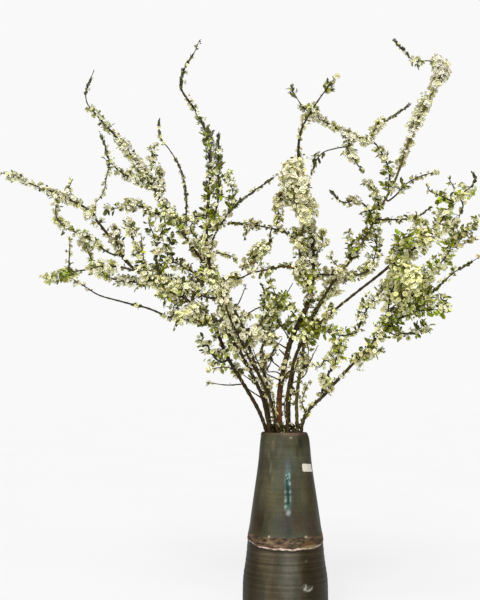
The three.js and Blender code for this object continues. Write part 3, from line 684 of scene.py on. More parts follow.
class Growth:
    """Flowers, buds, leaves and stalks gathered for one group of branches."""

    def __init__(self, name):
        self.leaf_cast, self.greying = LEAF_CASTS[name]
        self.flowers = []   # place, facing, size, openness, tint
        self.buds = []      # place, facing, size, tint
        self.leaves = []    # place, direction, towards, length, curl, tint
        self.stalks = []    # start, end, radius, tint
        self.wood = Heap()

    def branch(self, path, radii, tints, sides, stretches, rng):
        """Grow a branch's wood, and what grows on it."""
        grow_wood(self.wood, path, radii, tints, sides, rng)
        dress(self, path, radii, stretches, rng)

    def faded(self, places):
        """How grey the growth has turned, between 0 and 1: most at the far left and high up."""
        return self.greying * smooth_step(np.maximum(-places[:, 0], places[:, 2] - GREYING_RISE), *GREYING)

    def leaf_piece(self, name, rng):
        """All the leaves, and the stalks of everything."""
        heap = Heap()
        flat, faces, rims = leaf_template(0.05)
        curled = leaf_template(0.42)[0]
        places, directions, towards, lengths, curls, tints = map(np.array, zip(*self.leaves))
        shapes = between(flat, curled, curls[:, None, None])
        shapes[:, :, 1] *= rng.uniform(0.8, 1.25, (len(places), 1))
        lighter_midrib = np.where(np.arange(len(flat)) >= LEAF_RIM, 1.25, 1.0)
        colours = tints[:, None, :] * lighter_midrib[None, :, None] * self.leaf_cast
        colours[:, :, 2] *= 1 + LEAF_GREYING * self.faded(places)[:, None]
        stamp(heap, (shapes, faces), places, axes_along(directions, towards), lengths, colours, rims)
        self.add_stalks(heap, *map(np.array, zip(*self.stalks)))
        return heap.piece(name, LEAF)

    @staticmethod
    def add_stalks(heap, starts, ends, radii, tints):
        """Thin three-sided stalks that narrow to a point inside what they carry."""
        shape = np.array([(math.cos(a), math.sin(a), 0.0) for a in ring_angles(3)] + [(0.0, 0.0, 1.0)])
        faces = np.array([(0, 2, 1), (0, 1, 3), (1, 2, 3), (2, 0, 3)])
        span = ends - starts
        shapes = np.repeat(shape[None], len(starts), axis=0)
        shapes[:, :, :2] *= radii[:, None, None]
        shapes[:, :, 2] *= np.linalg.norm(span, axis=1)[:, None]
        axes = axes_facing(span, np.zeros(len(starts)))
        stamp(heap, (shapes, faces), starts, axes, np.ones(len(starts)), tints)

    def flower_piece(self, name, rng):
        """All the flowers and the closed buds."""
        heap = Heap()
        wide, faces, paint, share, rims = flower_template(math.radians(6))
        cupped = flower_template(math.radians(52))[0]
        places, facings, sizes, openness, tints = map(np.array, zip(*self.flowers))
        shapes = between(cupped, wide, openness[:, None, None])
        shapes = shapes * (1 + rng.normal(0, 0.05, shapes.shape))
        colours = tints[:, None, :] * share[None, :, None] + (paint * (1 - share[:, None]))[None]
        colours[:, :, 2] *= 1 + PETAL_GREYING * self.faded(places)[:, None]
        axes = axes_facing(facings, rng.uniform(0, 2 * math.pi, len(places)))
        stamp(heap, (shapes, faces), places, axes, sizes, colours, rims)
        places, facings, sizes, tints = map(np.array, zip(*self.buds))
        axes = axes_facing(facings, rng.uniform(0, 2 * math.pi, len(places)))
        stamp(heap, bud_template(), places, axes, sizes, tints)
        return heap.piece(name, PETAL)


def vary(tint, rng, amount=0.1):
    """The tint, a little lighter or darker and a little warmer or cooler."""
    return np.array(tint) * (1 + rng.normal(0, amount)) * (1 + rng.normal(0, amount * 0.3, 3))


def grow_flower(growth, fork, end, facing, kind, light, rng):
    """A flower at the end of a stalk that comes from the tuft's fork."""
    size = FLOWER_RADIUS * rng.uniform(0.82, 1.18)
    tint = np.clip(light * vary(kind.petals[rng.integers(len(kind.petals))], rng, 0.04), 0.0, 0.96)
    openness = rng.uniform(0.25, 1.0)
    growth.flowers.append((end, facing, size, openness, tint))
    growth.stalks.append((fork, end - facing * size * 0.20, 0.45 * MM, vary(YELLOW_GREEN, rng)))


def grow_cluster(growth, place, tangent, outward, wood, kind, reach, rng):
    """A tuft at one bud: an umbel of flowers, some closed buds and some leaves."""
    base = place + outward * wood * 0.8
    fork = base + (outward + 0.5 * tangent) * reach * 0.3
    mean = COVER_SCALE * kind.cover * 2 * math.pi * 0.75 * reach * (kind.spacing * MM) / FLOWER_AREA
    showy = rng.uniform(0.15, 1.85)     # a tuft rich in flowers is poor in leaves
    light = rng.uniform(0.92, 1.08)

    def strewn(spread):
        return spread * rng.normal(size=3)

    def stalk(start, end, width):
        growth.stalks.append((start, end, width * MM, vary(OLIVE, rng)))

    flowers = rng.poisson(mean * showy)
    if flowers > 0:
        stalk(base, fork, 0.5)
    for _ in range(flowers):
        direction = unit(outward + strewn(0.55) + 0.12 * UP)
        if direction @ outward < 0.1:
            direction = unit(direction + outward)
        outer = rng.uniform(0.0, 1.0)
        end = place + direction * max(reach * (0.45 + 0.55 * outer) - 0.8 * MM, wood + 2.5 * MM)
        facing = unit(direction + strewn(0.35) + 0.25 * UP)
        # Flowers deep in the tuft get a painted shade in their colour.
        shade = INNER_PETAL_SHADE + (1 - INNER_PETAL_SHADE) * smooth_step(outer, 0.0, 0.42)
        grow_flower(growth, fork, end, facing, kind, light * shade, rng)
    for _ in range(rng.poisson(kind.buds)):
        direction = unit(outward + strewn(0.5) + 0.4 * tangent)
        spot = place + direction * (wood + rng.uniform(0.6, 0.35 * reach / MM + 0.8) * MM)
        size = rng.uniform(0.9, 1.7) * MM
        tint = vary((CREAM, GREEN_CREAM, YELLOW_GREEN, OLIVE)[rng.integers(4)], rng, 0.12)
        growth.buds.append((spot, direction, size, tint))
        stalk(base, spot - direction * size * 0.8, 0.35)
    stands_out = kind.hug < 0.5
    for _ in range(rng.poisson(kind.leaves * (1.9 - 0.9 * showy))):
        direction = unit(outward * (1 - kind.hug) + tangent * (0.55 + kind.hug) + strewn(0.3))
        length = min(kind.leaf_length * MM, 1.25 * reach) * rng.uniform(0.6, 1.25)
        towards = UP + strewn(0.6) if stands_out else outward + strewn(0.2)
        start = base
        if stands_out and rng.random() < 0.6:
            start = place + unit(outward + strewn(0.4)) * rng.uniform(0.35, 0.8) * reach
            stalk(base, start, 0.4)
        tint = vary(kind.leaf_tints[rng.integers(len(kind.leaf_tints))], rng, 0.18)
        growth.leaves.append((start, direction, towards, length, rng.uniform(0, 1), tint))


PARTED_REACH = 18      # wider growth in mm than this isn't parted


def dress(growth, path, wood, stretches, rng):
    """Tufts along a path, each turned by the golden angle from the one before."""
    travelled = rng.uniform(0, 0.5) * (KINDS[stretches[0][1]].spacing * MM)
    turn = rng.uniform(0, 2 * math.pi)
    while travelled < path.length:
        share = travelled / path.length
        _, name, reach, lean = next(stretch for stretch in stretches if share <= stretch[0])
        kind = KINDS[name]
        place = path.at(share, path.points)
        tangent = unit(path.at(share, path.tangents))
        outward = math.cos(turn) * path.at(share, path.across) + math.sin(turn) * path.at(share, path.over)
        left = unit([-tangent[2], 0.0, tangent[0]])
        spread = REACH_SCALE * reach * MM * (1 + lean * (outward @ left)) * rng.uniform(0.85, 1.15)
        hidden = kind.parting * smooth_step(-outward[1], 0.25, 0.75) * (reach < PARTED_REACH)
        if place[2] > DRESSED_ABOVE and rng.random() > hidden:
            radius = path.at(share, wood)
            grow_cluster(growth, place, tangent, unit(outward), radius, kind, spread, rng)
        travelled += kind.spacing * MM * rng.uniform(0.7, 1.3)
        turn += GOLDEN_ANGLE + rng.normal(0, 0.15)


# ---------------------------------------------------------------- wood

def wood_radii(path, base, tip):
    """Radius of the bare wood: tapering, and never more than the CAD tube's."""
    taper = tip + (base - tip) * (1 - path.shares) ** 0.7
    radii = np.minimum(taper, path.radii)
    return radii * (1 - 0.55 * smooth_step(path.shares, 0.86, 1.0))


def grow_wood(heap, path, radii, tints, sides, rng):
    """A slightly knotty tube, with a swelling at each bud. tints are those of its foot and its tip."""
    count = len(path.points)
    knots = 0.5 + 0.5 * np.cos(2 * math.pi * path.shares * path.length / (rng.uniform(15, 21) * MM))
    swell = 1 + 0.22 * knots ** 4 * smooth_step(path.shares, 0.05, 0.3)
    rough = 1 + rng.normal(0, 0.045, (count, sides))
    ring_radii = (radii * swell)[:, None] * rough
    wander = np.cumsum(rng.normal(0, 1, (count, 2)), axis=0)
    wander -= np.linspace(wander[0], wander[-1], count)
    wander *= 0.10 * MM / (1 + np.abs(wander).max() * 0.05)
    points = path.points + path.across * wander[:, :1] + path.over * wander[:, 1:]
    angles = ring_angles(sides)[None, :, None]
    ring = path.across[:, None, :] * np.cos(angles) + path.over[:, None, :] * np.sin(angles)
    places = (points[:, None, :] + ring * ring_radii[:, :, None]).reshape(-1, 3)
    fade = smooth_step(path.shares, 0.32, 0.46)[:, None]
    along = between(np.array(tints[0]), np.array(tints[1]), fade)
    along = along * (1 + rng.normal(0, 0.12, (count, 1)))
    rows = np.repeat(along, sides, axis=0)
    heap.add(np.vstack([places, points[0], points[-1]]), capped_wall(count, sides),
             np.vstack([rows, rows[:1], rows[-1:]]))


# ---------------------------------------------------------------- materials

class Nodes:
    """Nodes of a material or a world, made one after another."""

    def __init__(self, owner):
        owner.use_nodes = True
        self.tree = owner.node_tree
        self.tree.nodes.clear()

    def node(self, kind, inputs=(), **settings):
        """A new node; inputs says which sockets or constants its inputs get."""
        node = self.tree.nodes.new("ShaderNode" + kind)
        for key, value in settings.items():
            setattr(node, key, value)
        for key, value in dict(inputs).items():
            self.feed(node.inputs[key], value)
        return node

    def feed(self, target, value):
        """Link a socket, or set a constant."""
        if isinstance(value, bpy.types.NodeSocket):
            self.tree.links.new(value, target)
        elif target.type == "RGBA":
            target.default_value = (*value, 1.0)
        else:
            target.default_value = value


class Shader(Nodes):
    """A material built step by step round one Principled shader."""

    def __init__(self, name, roughness, specular=0.5):
        self.material = bpy.data.materials.new(name)
        super().__init__(self.material)
        self.surface = self.node("BsdfPrincipled", {"Roughness": roughness, "Specular IOR Level": specular})
        self.node("OutputMaterial", {"Surface": self.surface.outputs["BSDF"]})

    def put(self, name, value):
        """Link a socket to one of the surface's inputs, or set a constant there."""
        self.feed(self.surface.inputs[name], value)

    def noise(self, scale, detail=3.0, stretch=(1.0, 1.0, 1.0), distortion=0.0):
        place = self.node("TexCoord").outputs["Object"]
        mapped = self.node("Mapping", {"Vector": place, "Scale": stretch}).outputs["Vector"]
        inputs = {"Vector": mapped, "Scale": scale, "Detail": detail, "Distortion": distortion}
        return self.node("TexNoise", inputs).outputs["Fac"]

    def spread(self, value, low, high, out_low=0.0, out_high=1.0):
        inputs = {"Value": value, "From Min": low, "From Max": high, "To Min": out_low, "To Max": out_high}
        return self.node("MapRange", inputs, interpolation_type="SMOOTHSTEP").outputs["Result"]

    def grain(self, noise, low, high):
        """The noise, spread out so that it goes from low to high."""
        return self.spread(noise, 0.3, 0.7, low, high)

    def sums(self, operation, first, second):
        return self.node("Math", {0: first, 1: second}, operation=operation).outputs["Value"]

    def mix(self, factor, first, second, blend="MIX"):
        inputs = {"Factor": factor, "A": first, "B": second}
        return self.node("Mix", inputs, data_type="RGBA", blend_type=blend).outputs["Result"]

    def shaded(self, colour, value):
        """The colour made lighter and darker by a value."""
        grey = self.node("CombineColor", {key: value for key in ("Red", "Green", "Blue")}).outputs["Color"]
        return self.mix(1.0, colour, grey, "MULTIPLY")

    def ramp(self, value, stops):
        """Colour stops, as (place, colour), along a value."""
        node = self.node("ValToRGB", {"Fac": value})
        elements = node.color_ramp.elements
        while len(elements) < len(stops):
            elements.new(0.5)
        for element, (place, colour) in zip(elements, stops):
            element.position = place
            element.color = (*colour, 1.0)
        return node.outputs["Color"]

    def attribute(self, name, output="Fac"):
        return self.node("Attribute", attribute_name=name).outputs[output]

    def relief(self, height, distance, strength=1.0):
        inputs = {"Strength": strength, "Distance": distance, "Height": height}
        self.put("Normal", self.node("Bump", inputs).outputs["Normal"])

    def let_light_through(self, weight, radius, scale):
        self.put("Subsurface Weight", weight)
        self.put("Subsurface Radius", radius)
        self.put("Subsurface Scale", scale)


def tinted(shader, noise, low, high):
    """The tint attribute, made lighter and darker by a noise between two factors."""
    return shader.shaded(shader.attribute("tint", "Color"), shader.grain(noise, low, high))


def petal_material():
    shader = Shader("spiraea_petal", 0.6, 0.25)
    shader.put("Base Color", tinted(shader, shader.noise(900, 2.0), 0.88, 1.06))
    shader.let_light_through(0.25, (1.0, 0.9, 0.5), 1.2 * MM)
    shader.relief(shader.noise(1600, 2.0), 0.15 * MM)
    return shader.material


def leaf_material():
    shader = Shader("spiraea_leaf", 0.5, 0.25)
    shader.put("Base Color", tinted(shader, shader.noise(500, 3.0), 0.72, 1.22))
    shader.put("Roughness", shader.grain(shader.noise(700, 2.0), 0.42, 0.62))
    shader.let_light_through(0.2, (0.7, 1.0, 0.1), 1.0 * MM)
    shader.relief(shader.noise(1100, 3.0), 0.25 * MM)
    return shader.material


def wood_material():
    shader = Shader("spiraea_bark", 0.75, 0.1)
    streaks = shader.noise(260, 4.0, (1.0, 1.0, 0.35))
    base = tinted(shader, streaks, 0.55, 1.5)
    lenticels = shader.spread(shader.noise(620, 1.0, (1.0, 1.0, 1.8)), 0.64, 0.70)
    shader.put("Base Color", shader.mix(shader.sums("MULTIPLY", lenticels, 0.45), base, LENTICEL))
    shader.put("Roughness", shader.grain(streaks, 0.62, 0.88))
    shader.relief(shader.noise(520, 4.0, (1.0, 1.0, 0.5)), 0.5 * MM)
    return shader.material


def paper_material():
    shader = Shader("label_paper", 0.8)
    fibres = shader.noise(1500, 3.0, (1.0, 1.0, 3.0))
    pale, dark = (0.665, 0.645, 0.535), (0.55, 0.53, 0.43)
    shader.put("Base Color", shader.mix(shader.spread(fibres, 0.35, 0.7), pale, dark))
    shader.relief(fibres, 0.08 * MM)
    return shader.material


def floor_material():
    shader = Shader("studio_floor", 0.9, 0.0)
    soft = shader.grain(shader.noise(1.5, 2.0), 0.0, 1.0)
    shader.put("Base Color", shader.mix(soft, (FLOOR_SHADE,) * 3, (FLOOR_SHADE + 0.01,) * 3))
    shader.put("Emission Color", (1.0, 1.0, 1.0))
    shader.put("Emission Strength", FLOOR_GLOW)
    return shader.material


def glaze_material():
    """Iron and ash glaze. Attributes on the vase's mesh say where its marks are."""
    shader = Shader("ash_glaze", 0.4, GLAZE_SHINE)
    tint = shader.attribute("tint", "Color")
    mottle = shader.grain(shader.noise(38, 3.0, (1.0, 1.0, 0.45), 0.5), 0.78, 1.22)
    brushed = shader.grain(shader.noise(7, 3.0, (1.0, 1.0, 34.0)), 0.93, 1.07)
    specks = shader.grain(shader.noise(330, 2.0), 0.88, 1.12)
    base = shader.shaded(tint, shader.sums("MULTIPLY", mottle, shader.sums("MULTIPLY", brushed, specks)))
    patches = shader.noise(19, 2.0, (1.0, 1.0, 0.5), 0.4)
    warm = shader.mix(1.0, base, (1.06, 0.98, 0.88), "MULTIPLY")
    cool = shader.mix(1.0, base, (0.95, 1.01, 1.04), "MULTIPLY")
    glazed = shader.mix(shader.spread(patches, 0.40, 0.60), warm, cool)
    crust = shader.ramp(shader.noise(95, 4.0, (0.7, 0.7, 2.0), 0.8), [
        (0.36, (0.022, 0.012, 0.008)), (0.45, (0.062, 0.038, 0.022)), (0.55, (0.100, 0.063, 0.036)),
        (0.66, (0.185, 0.128, 0.075))])
    fray = shader.grain(shader.noise(110, 3.0, (0.6, 0.6, 1.0)), -0.22, 0.22)
    ragged = shader.sums("ADD", shader.attribute("crust"), fray)
    painted = shader.mix(shader.attribute("rust"), crust, tint)
    glazed = shader.mix(shader.spread(ragged, 0.40, 0.62), glazed, painted)
    breaks = shader.grain(shader.noise(150, 3.0, (0.5, 0.5, 1.0)), -0.26, 0.14)
    torn = shader.sums("ADD", shader.attribute("torn_edge"), breaks)
    pale = shader.ramp(shader.noise(120, 2.0), [
        (0.38, (0.24, 0.165, 0.12)), (0.50, (0.43, 0.31, 0.25)), (0.62, (0.58, 0.47, 0.38))])
    shader.put("Base Color", shader.mix(shader.spread(torn, 0.36, 0.66), glazed, pale))
    gloss = shader.grain(patches, 0.34, 0.46)
    dry = shader.sums("MULTIPLY", shader.attribute("dryness"), 0.40)
    shader.put("Roughness", shader.sums("ADD", gloss, dry))
    shader.relief(shader.noise(210, 4.0, (1.0, 1.0, 2.2)), 0.30 * MM, 0.6)
    return shader.material


# ---------------------------------------------------------------- vase

VASE_COLUMNS = 156
ROW_COARSE = 2.9           # mm between rows of the wall
ROW_FINE = 1.4             # mm between rows round the torn edge and the crescent
WALL = 7 * MM
LIP = 4.5 * MM
LIP_HEIGHT = 7 * MM
LIP_WEAR = 2.6 * MM        # how far the lip leans in at the right
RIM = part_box("vase")[1].z
FLOOR = 10 * MM

# How far the marks of throwing and glazing stand proud.
RING_DEPTH = 1.8 * MM
EDGE_STEP = 1.2 * MM
RUN_DEPTH = 0.5 * MM
CRESCENT_DEPTH = 0.9 * MM
WOBBLE = 0.12 * MM         # how far from round the wall is
SWAY = 0.35 * MM           # how far from level the lip is

# Colours of the glaze, as linear red, green and blue.
GLAZE_SHINE = 0.14
GLAZE_STRENGTH = 0.84      # of all the colours below
GLAZE_GREY = (0.070, 0.066, 0.039)
# Painted shade: the sides of the vase turn browner and darker away from the front.
SIDE_SHADE_BROWN = (0.046, 0.038, 0.016)
# Painted shade on the sides below the torn edge.
LOWER_SIDE_SHADE = (0.022, 0.016, 0.005)
LOWER_GLAZE = (0.066, 0.055, 0.034)
INSIDE = (0.020, 0.015, 0.010)
EDGE_SHADOW = (0.012, 0.009, 0.006)
RUN_BODY = (0.072, 0.140, 0.118)
RUN_DARK = (0.006, 0.036, 0.026)
# Painted highlights along the run's raised edges.
RUN_EDGE_HIGHLIGHT = (0.38, 0.56, 0.54)
# Painted highlight along the top of the lip.
LIP_PINK_HIGHLIGHT = (0.170, 0.092, 0.075)
CRESCENT_PALE = (0.66, 0.62, 0.50)

# Height in mm of the torn lower edge of the upper glaze, at angles in degrees from the front.
TORN_EDGE = [(-180, 207), (-90, 208), (-62, 206), (-43, 201), (-24, 199.2), (-6, 199), (8, 198.3), (14, 198),
             (18, 199.6), (27, 199.4), (47, 199.6), (55, 200.6), (64, 202.5), (90, 207), (180, 207)]

# Soft ovals in the glaze: height in mm, angle in degrees, half height, half width, strength, colour.
GLAZE_MARKS = [
    (396, 42, 26, 36, 0.55, (0.030, 0.029, 0.014)),    # darker at the top right
    (398, 2, 20, 18, 0.75, (0.042, 0.039, 0.022)),
    (330, 40, 60, 14, 0.25, (0.088, 0.078, 0.030)),
    (300, -46, 50, 12, 0.35, (0.092, 0.080, 0.040)),
    (401, 36, 17, 8, 0.70, (0.018, 0.018, 0.009)),
    (384, 28, 18, 6, 0.60, (0.022, 0.022, 0.010)),
    (402, 66, 22, 11, 0.70, (0.020, 0.018, 0.009)),
    (381, 53, 18, 7, 0.55, (0.078, 0.078, 0.042)),
    (352, -52, 60, 16, 0.30, (0.050, 0.044, 0.024)),
    (390, -44, 26, 12, 0.55, (0.112, 0.100, 0.066)),   # a pale beige streak at the left
    (376, -37, 16, 3.5, 0.75, (0.150, 0.130, 0.092)),
    (352, -31, 18, 3.5, 0.75, (0.150, 0.132, 0.095)),
    (328, -25, 14, 4, 0.70, (0.140, 0.125, 0.090)),
    (394, -27, 16, 8, 0.65, (0.150, 0.128, 0.085)),
    (385, -14, 30, 9, 0.40, (0.125, 0.122, 0.082)),
    # painted highlight: a grey-blue sheen at the front
    (362, 8, 26, 16, 0.55, (0.110, 0.115, 0.090)),
    (312, -22, 46, 20, 0.40, (0.110, 0.110, 0.068)),   # lighter beside the run
    (296, 30, 24, 16, 0.25, (0.092, 0.088, 0.050)),
    (298, 58, 56, 24, 0.72, (0.044, 0.035, 0.012)),
    (244, 2, 34, 28, 0.85, (0.037, 0.034, 0.029)),     # blue and brown darkness above the crust
    (245, 42, 32, 30, 0.75, (0.046, 0.026, 0.019)),
    (243, -50, 38, 34, 0.90, (0.034, 0.025, 0.010)),
    (240, 5, 22, 6, 0.45, (0.026, 0.028, 0.026)),
    (330, 150, 90, 40, 0.35, (0.105, 0.104, 0.066)),   # the same sort of clouds at the back
    (372, -128, 40, 12, 0.55, (0.150, 0.124, 0.080)),
    (250, 165, 34, 60, 0.60, (0.046, 0.038, 0.030)),
    (300, 108, 70, 14, 0.35, (0.048, 0.040, 0.018)),
    (352, -165, 34, 8, 0.45, (0.060, 0.105, 0.092)),
]
# The same below the torn edge.
LOWER_MARKS = [
    (150, 4, 110, 14, 0.56, (0.108, 0.097, 0.074)),    # painted highlight: a grey reflection down the middle
    (186, -26, 9, 30, 0.45, (0.120, 0.090, 0.055)),
    (156, 31, 15, 10, 0.75, (0.016, 0.013, 0.005)),
    (178, 31, 3.5, 3, 0.50, (0.190, 0.170, 0.110)),
    (165, -26, 60, 20, 0.50, (0.078, 0.058, 0.030)),
    (60, -10, 60, 40, 0.25, (0.080, 0.068, 0.045)),
    (150, 160, 110, 30, 0.45, (0.105, 0.094, 0.070)),
    (120, -110, 80, 24, 0.35, (0.090, 0.074, 0.046)),
]
# Rust and specks of ash over the torn edge.
DARK_SPECKS = [(214, 8), (216, 20), (213, 28), (211, 14), (217, 44), (208, 22), (214, -9), (209, 54)]
PALE_SPECKS = [(222, -25), (222, 33)]
EDGE_MARKS = [(208, 36, 8, 20, 0.85, (0.150, 0.062, 0.024)), (202.5, 42, 5, 24, 0.85, (0.34, 0.27, 0.13))]
EDGE_MARKS += [(*spot, 3.2, 4, 0.9, (0.016, 0.010, 0.007)) for spot in DARK_SPECKS]
EDGE_MARKS += [(*spot, 3.0, 2.6, 1.0, (0.52, 0.42, 0.28)) for spot in PALE_SPECKS]
# Haze over the blue-green run, its pale foot, and a painted shadow below the foot.
RUN_HAZE = [(350, 5.5, 20, 8, 0.75, (0.135, 0.165, 0.175))]
RUN_FOOT_AND_SHADOW = [(268, 5.4, 7, 5, 1.0, (0.28, 0.34, 0.38)), (256, 5.4, 8, 7, 0.7, (0.030, 0.032, 0.034))]
# A pale chip at the rim, and the dark patch behind the crescent.
LAST_MARKS = [(410.5, 14, 3, 4, 1.0, (0.32, 0.28, 0.23)), (138, 32, 15, 12, 0.7, (0.020, 0.016, 0.007))]


def cad_wall():
    """A function that gives the CAD vase's outer radius at a height, by casting rays at it."""
    places, triangles = merged_mesh("vase")
    tree = BVHTree.FromPolygons([Vector(p) for p in places], [tuple(t) for t in triangles])

    def radius(height):
        return tree.ray_cast(Vector((0.5, 0.0, height)), Vector((-1.0, 0.0, 0.0)))[0].x

    return radius


class Wall:
    """Levels in mm and angles in degrees from the front of the vase's vertices, and their colours."""

    def __init__(self, height, angle):
        self.angle = angle
        self.level = height / MM
        self.degrees = np.degrees(angle)
        self.colours = np.zeros((*height.shape, 3)) + np.array(GLAZE_GREY)

    def edge(self):
        """Level of the torn lower edge of the upper glaze."""
        angles, levels = zip(*TORN_EDGE)
        nicks = 0.35 * np.sin(13 * self.angle + 2.0) + 0.25 * np.sin(29 * self.angle)
        return np.interp(self.degrees, angles, levels) + nicks

    def rings(self):
        """Uneven rings left by the thrower's fingers, clear just below the edge and faint elsewhere."""
        level = self.level
        slope = 1.8 * np.sin(self.angle + 0.4)
        coarse = np.sin(2 * math.pi * (level + slope) / 12.7 + 1.7 * np.sin(level / 23.0))
        medium = np.sin(2 * math.pi * (level - slope) / 7.9 + 2.3 * np.sin(level / 31.0 + 1.0))
        fine = np.sin(2 * math.pi * (level + 0.5 * slope) / 5.1 + 1.1 * np.sin(level / 17.0))
        under = smooth_step(level, 110, 165) * (1 - smooth_step(level, 190, 197))
        strength = 0.05 + 0.08 * (1 - smooth_step(level, 190, 200)) + 0.13 * under
        return strength * (0.45 * coarse + 0.30 * medium + 0.25 * fine)

    def mark(self, at_level, at_degrees, half_height, half_width):
        """A soft oval."""
        wide = ((self.degrees - at_degrees + 180) % 360 - 180) / half_width
        high = (self.level - at_level) / half_height
        return np.clip(1.35 * (1 - np.sqrt(wide ** 2 + high ** 2)), 0.0, 1.0)

    def run(self):
        """The blue-green run of glaze: its body, its dark middle, and painted highlights broken along its
        edges.
        """
        level, degrees = self.level, self.degrees
        away = degrees - 5.2 - 0.4 * np.sin(level / 11.0)
        inside = smooth_step(level, 268, 274) * (1 - smooth_step(level, 340, 350))
        body = inside * (1 - smooth_step(np.abs(away), 4.4, 7.0))
        dark = (1 - smooth_step(np.abs(away + 0.4), 2.0, 4.2)) * smooth_step(level, 280, 286)
        dark = dark * (1 - smooth_step(level, 326, 342))
        broken = smooth_step(np.sin(level / 2.3) + 0.7 * np.sin(level / 1.35 + 1.0), -0.5, 0.9)
        left = np.exp(-((away + 4.6) / 1.5) ** 2) * (1 - smooth_step(level, 300, 318))
        right = np.exp(-((away - 3.8) / 1.5) ** 2) * smooth_step(level, 280, 300)
        ripples = np.sin(level / 1.7 + 3 * degrees) * np.sin(degrees * 1.9 + level / 4.1)
        upper = smooth_step(ripples, 0.45, 0.8) * smooth_step(level, 318, 328)
        upper = upper * (1 - smooth_step(np.abs(away), 3.0, 5.5))
        return body, dark, inside * np.maximum(broken * np.maximum(left, right), 0.8 * upper)

    def crescent(self):
        """A pale ragged crescent, raised on the wall and open at the top."""
        wide = (self.degrees - 31) / 8
        high = (self.level - 133) / 9
        away = np.sqrt(wide ** 2 + high ** 2)
        ring = np.exp(-((away - 0.86) / (0.10 + 0.09 * smooth_step(-high, 0.0, 0.9))) ** 2)
        horn = 0.35 - 0.45 * smooth_step(wide, -0.4, 0.6)     # the right end stops lower than the left
        ring = ring * (1 - smooth_step(high, horn - 0.3, horn + 0.3))
        ring = ring * (1 - 0.35 * smooth_step(wide, 0.2, 0.9))
        prongs = np.maximum(0.75 * self.mark(131, 27.6, 7.5, 1.7), 0.55 * self.mark(129.5, 31.4, 7, 1.7))
        broken = 0.62 + 0.38 * np.sin(2.1 * self.degrees + self.level / 1.1) * np.sin(self.level / 1.7)
        return np.clip(np.maximum(ring, prongs) * broken, 0.0, 1.0)

    def blend(self, mask, tint):
        """Move the colours towards the tint where the mask is."""
        self.colours = between(self.colours, np.array(tint), mask[..., None])

    def blend_marks(self, marks, within=1.0):
        for *oval, strength, tint in marks:
            self.blend(strength * within * self.mark(*oval), tint)

    def paint(self):
        """Colour each vertex with the large and the placed marks, one over the other."""
        edge = self.edge()
        below = 1 - smooth_step(self.level, edge - 1.0, edge + 0.5)
        backwards = smooth_step(np.abs(self.degrees), 75, 120)
        # Painted shade: the sides turn browner and darker away from the front, and less so round the back.
        self.blend(smooth_step(np.abs(self.degrees - 2), 22, 70) * (1 - 0.8 * backwards), SIDE_SHADE_BROWN)
        self.blend_marks(GLAZE_MARKS, 1 - below)
        self.blend(below, LOWER_GLAZE)
        # Painted shade: below the torn edge both sides turn dark, starting nearer the front at the right.
        sides = np.maximum(smooth_step(self.degrees, 14, 34), smooth_step(-self.degrees, 22, 52))
        self.blend(below * 0.92 * sides * (1 - 0.75 * backwards), LOWER_SIDE_SHADE)
        self.blend_marks(LOWER_MARKS, below)
        # The rings also lighten the colour on their ridges and darken it in their grooves: painted highlight
        # and shade.
        self.colours = self.colours * (1 + 1.6 * self.rings()[..., None])
        self.blend(0.85 * np.exp(-((self.level - edge + 2.6) / 1.6) ** 2), EDGE_SHADOW)
        self.blend_marks(EDGE_MARKS)
        self.blend_marks(RUN_HAZE)
        body, dark, pale = self.run()
        self.blend(0.80 * body, RUN_BODY)
        self.blend(0.95 * dark, RUN_DARK)
        # Painted highlights broken along the run's edges and over its top.
        self.blend(0.90 * pale, RUN_EDGE_HIGHLIGHT)
        # The run's pale foot, with a painted shadow below it.
        self.blend_marks(RUN_FOOT_AND_SHADOW)
        # Painted highlight: the top of the lip turns pink, most at the right.
        at_right = 0.20 + 0.80 * np.exp(-((self.degrees - 22) / 30) ** 2)
        self.blend(0.55 * smooth_step(self.level, 413.5, 416) * at_right, LIP_PINK_HIGHLIGHT)
        self.blend_marks(LAST_MARKS)
        self.blend(0.85 * self.crescent(), CRESCENT_PALE)
        self.colours = GLAZE_STRENGTH * self.colours


def vase_profile(radius):
    """Rows of the vase from the middle of the foot, up the wall, over the lip and down inside."""
    top = RIM - LIP_HEIGHT
    rows = [(share * radius(1 * MM), 0.0, False) for share in (0.02, 0.35, 0.7, 0.9, 0.97)]
    even = np.arange(1.0 * MM, top, 2 * MM)
    raw = np.array([radius(height) for height in even])
    smooth = np.convolve(np.pad(raw, 4, mode="edge"), np.ones(9) / 9, mode="valid")
    smooth[:3] = raw[:3]
    levels = []
    for start, end, step in ((1.0, 118, ROW_COARSE), (118, 146, ROW_FINE), (146, 188, ROW_COARSE),
                             (188, 228, ROW_FINE), (228, top / MM, ROW_COARSE)):
        levels += [*np.arange(start, end, step)]
    rows += [(np.interp(level * MM, even, smooth), level * MM, False) for level in levels]
    middle = smooth[-1] - LIP / 2 - 0.6 * MM
    for angle in np.linspace(0, math.pi, 13):
        out = middle + (LIP / 2 + 0.4 * MM) * math.cos(angle)
        rows.append((out, top + LIP_HEIGHT * math.sin(angle), angle > 2.2))
    for height in np.linspace(top - 6 * MM, FLOOR, 24):
        thick = LIP + (WALL - LIP) * smooth_step(RIM - height, 7 * MM, 25 * MM)
        rows.append((radius(height) - thick, height, True))
    rows += [(share * (radius(FLOOR) - WALL), FLOOR, True) for share in (0.9, 0.6, 0.3, 0.02)]
    return map(np.array, zip(*rows))


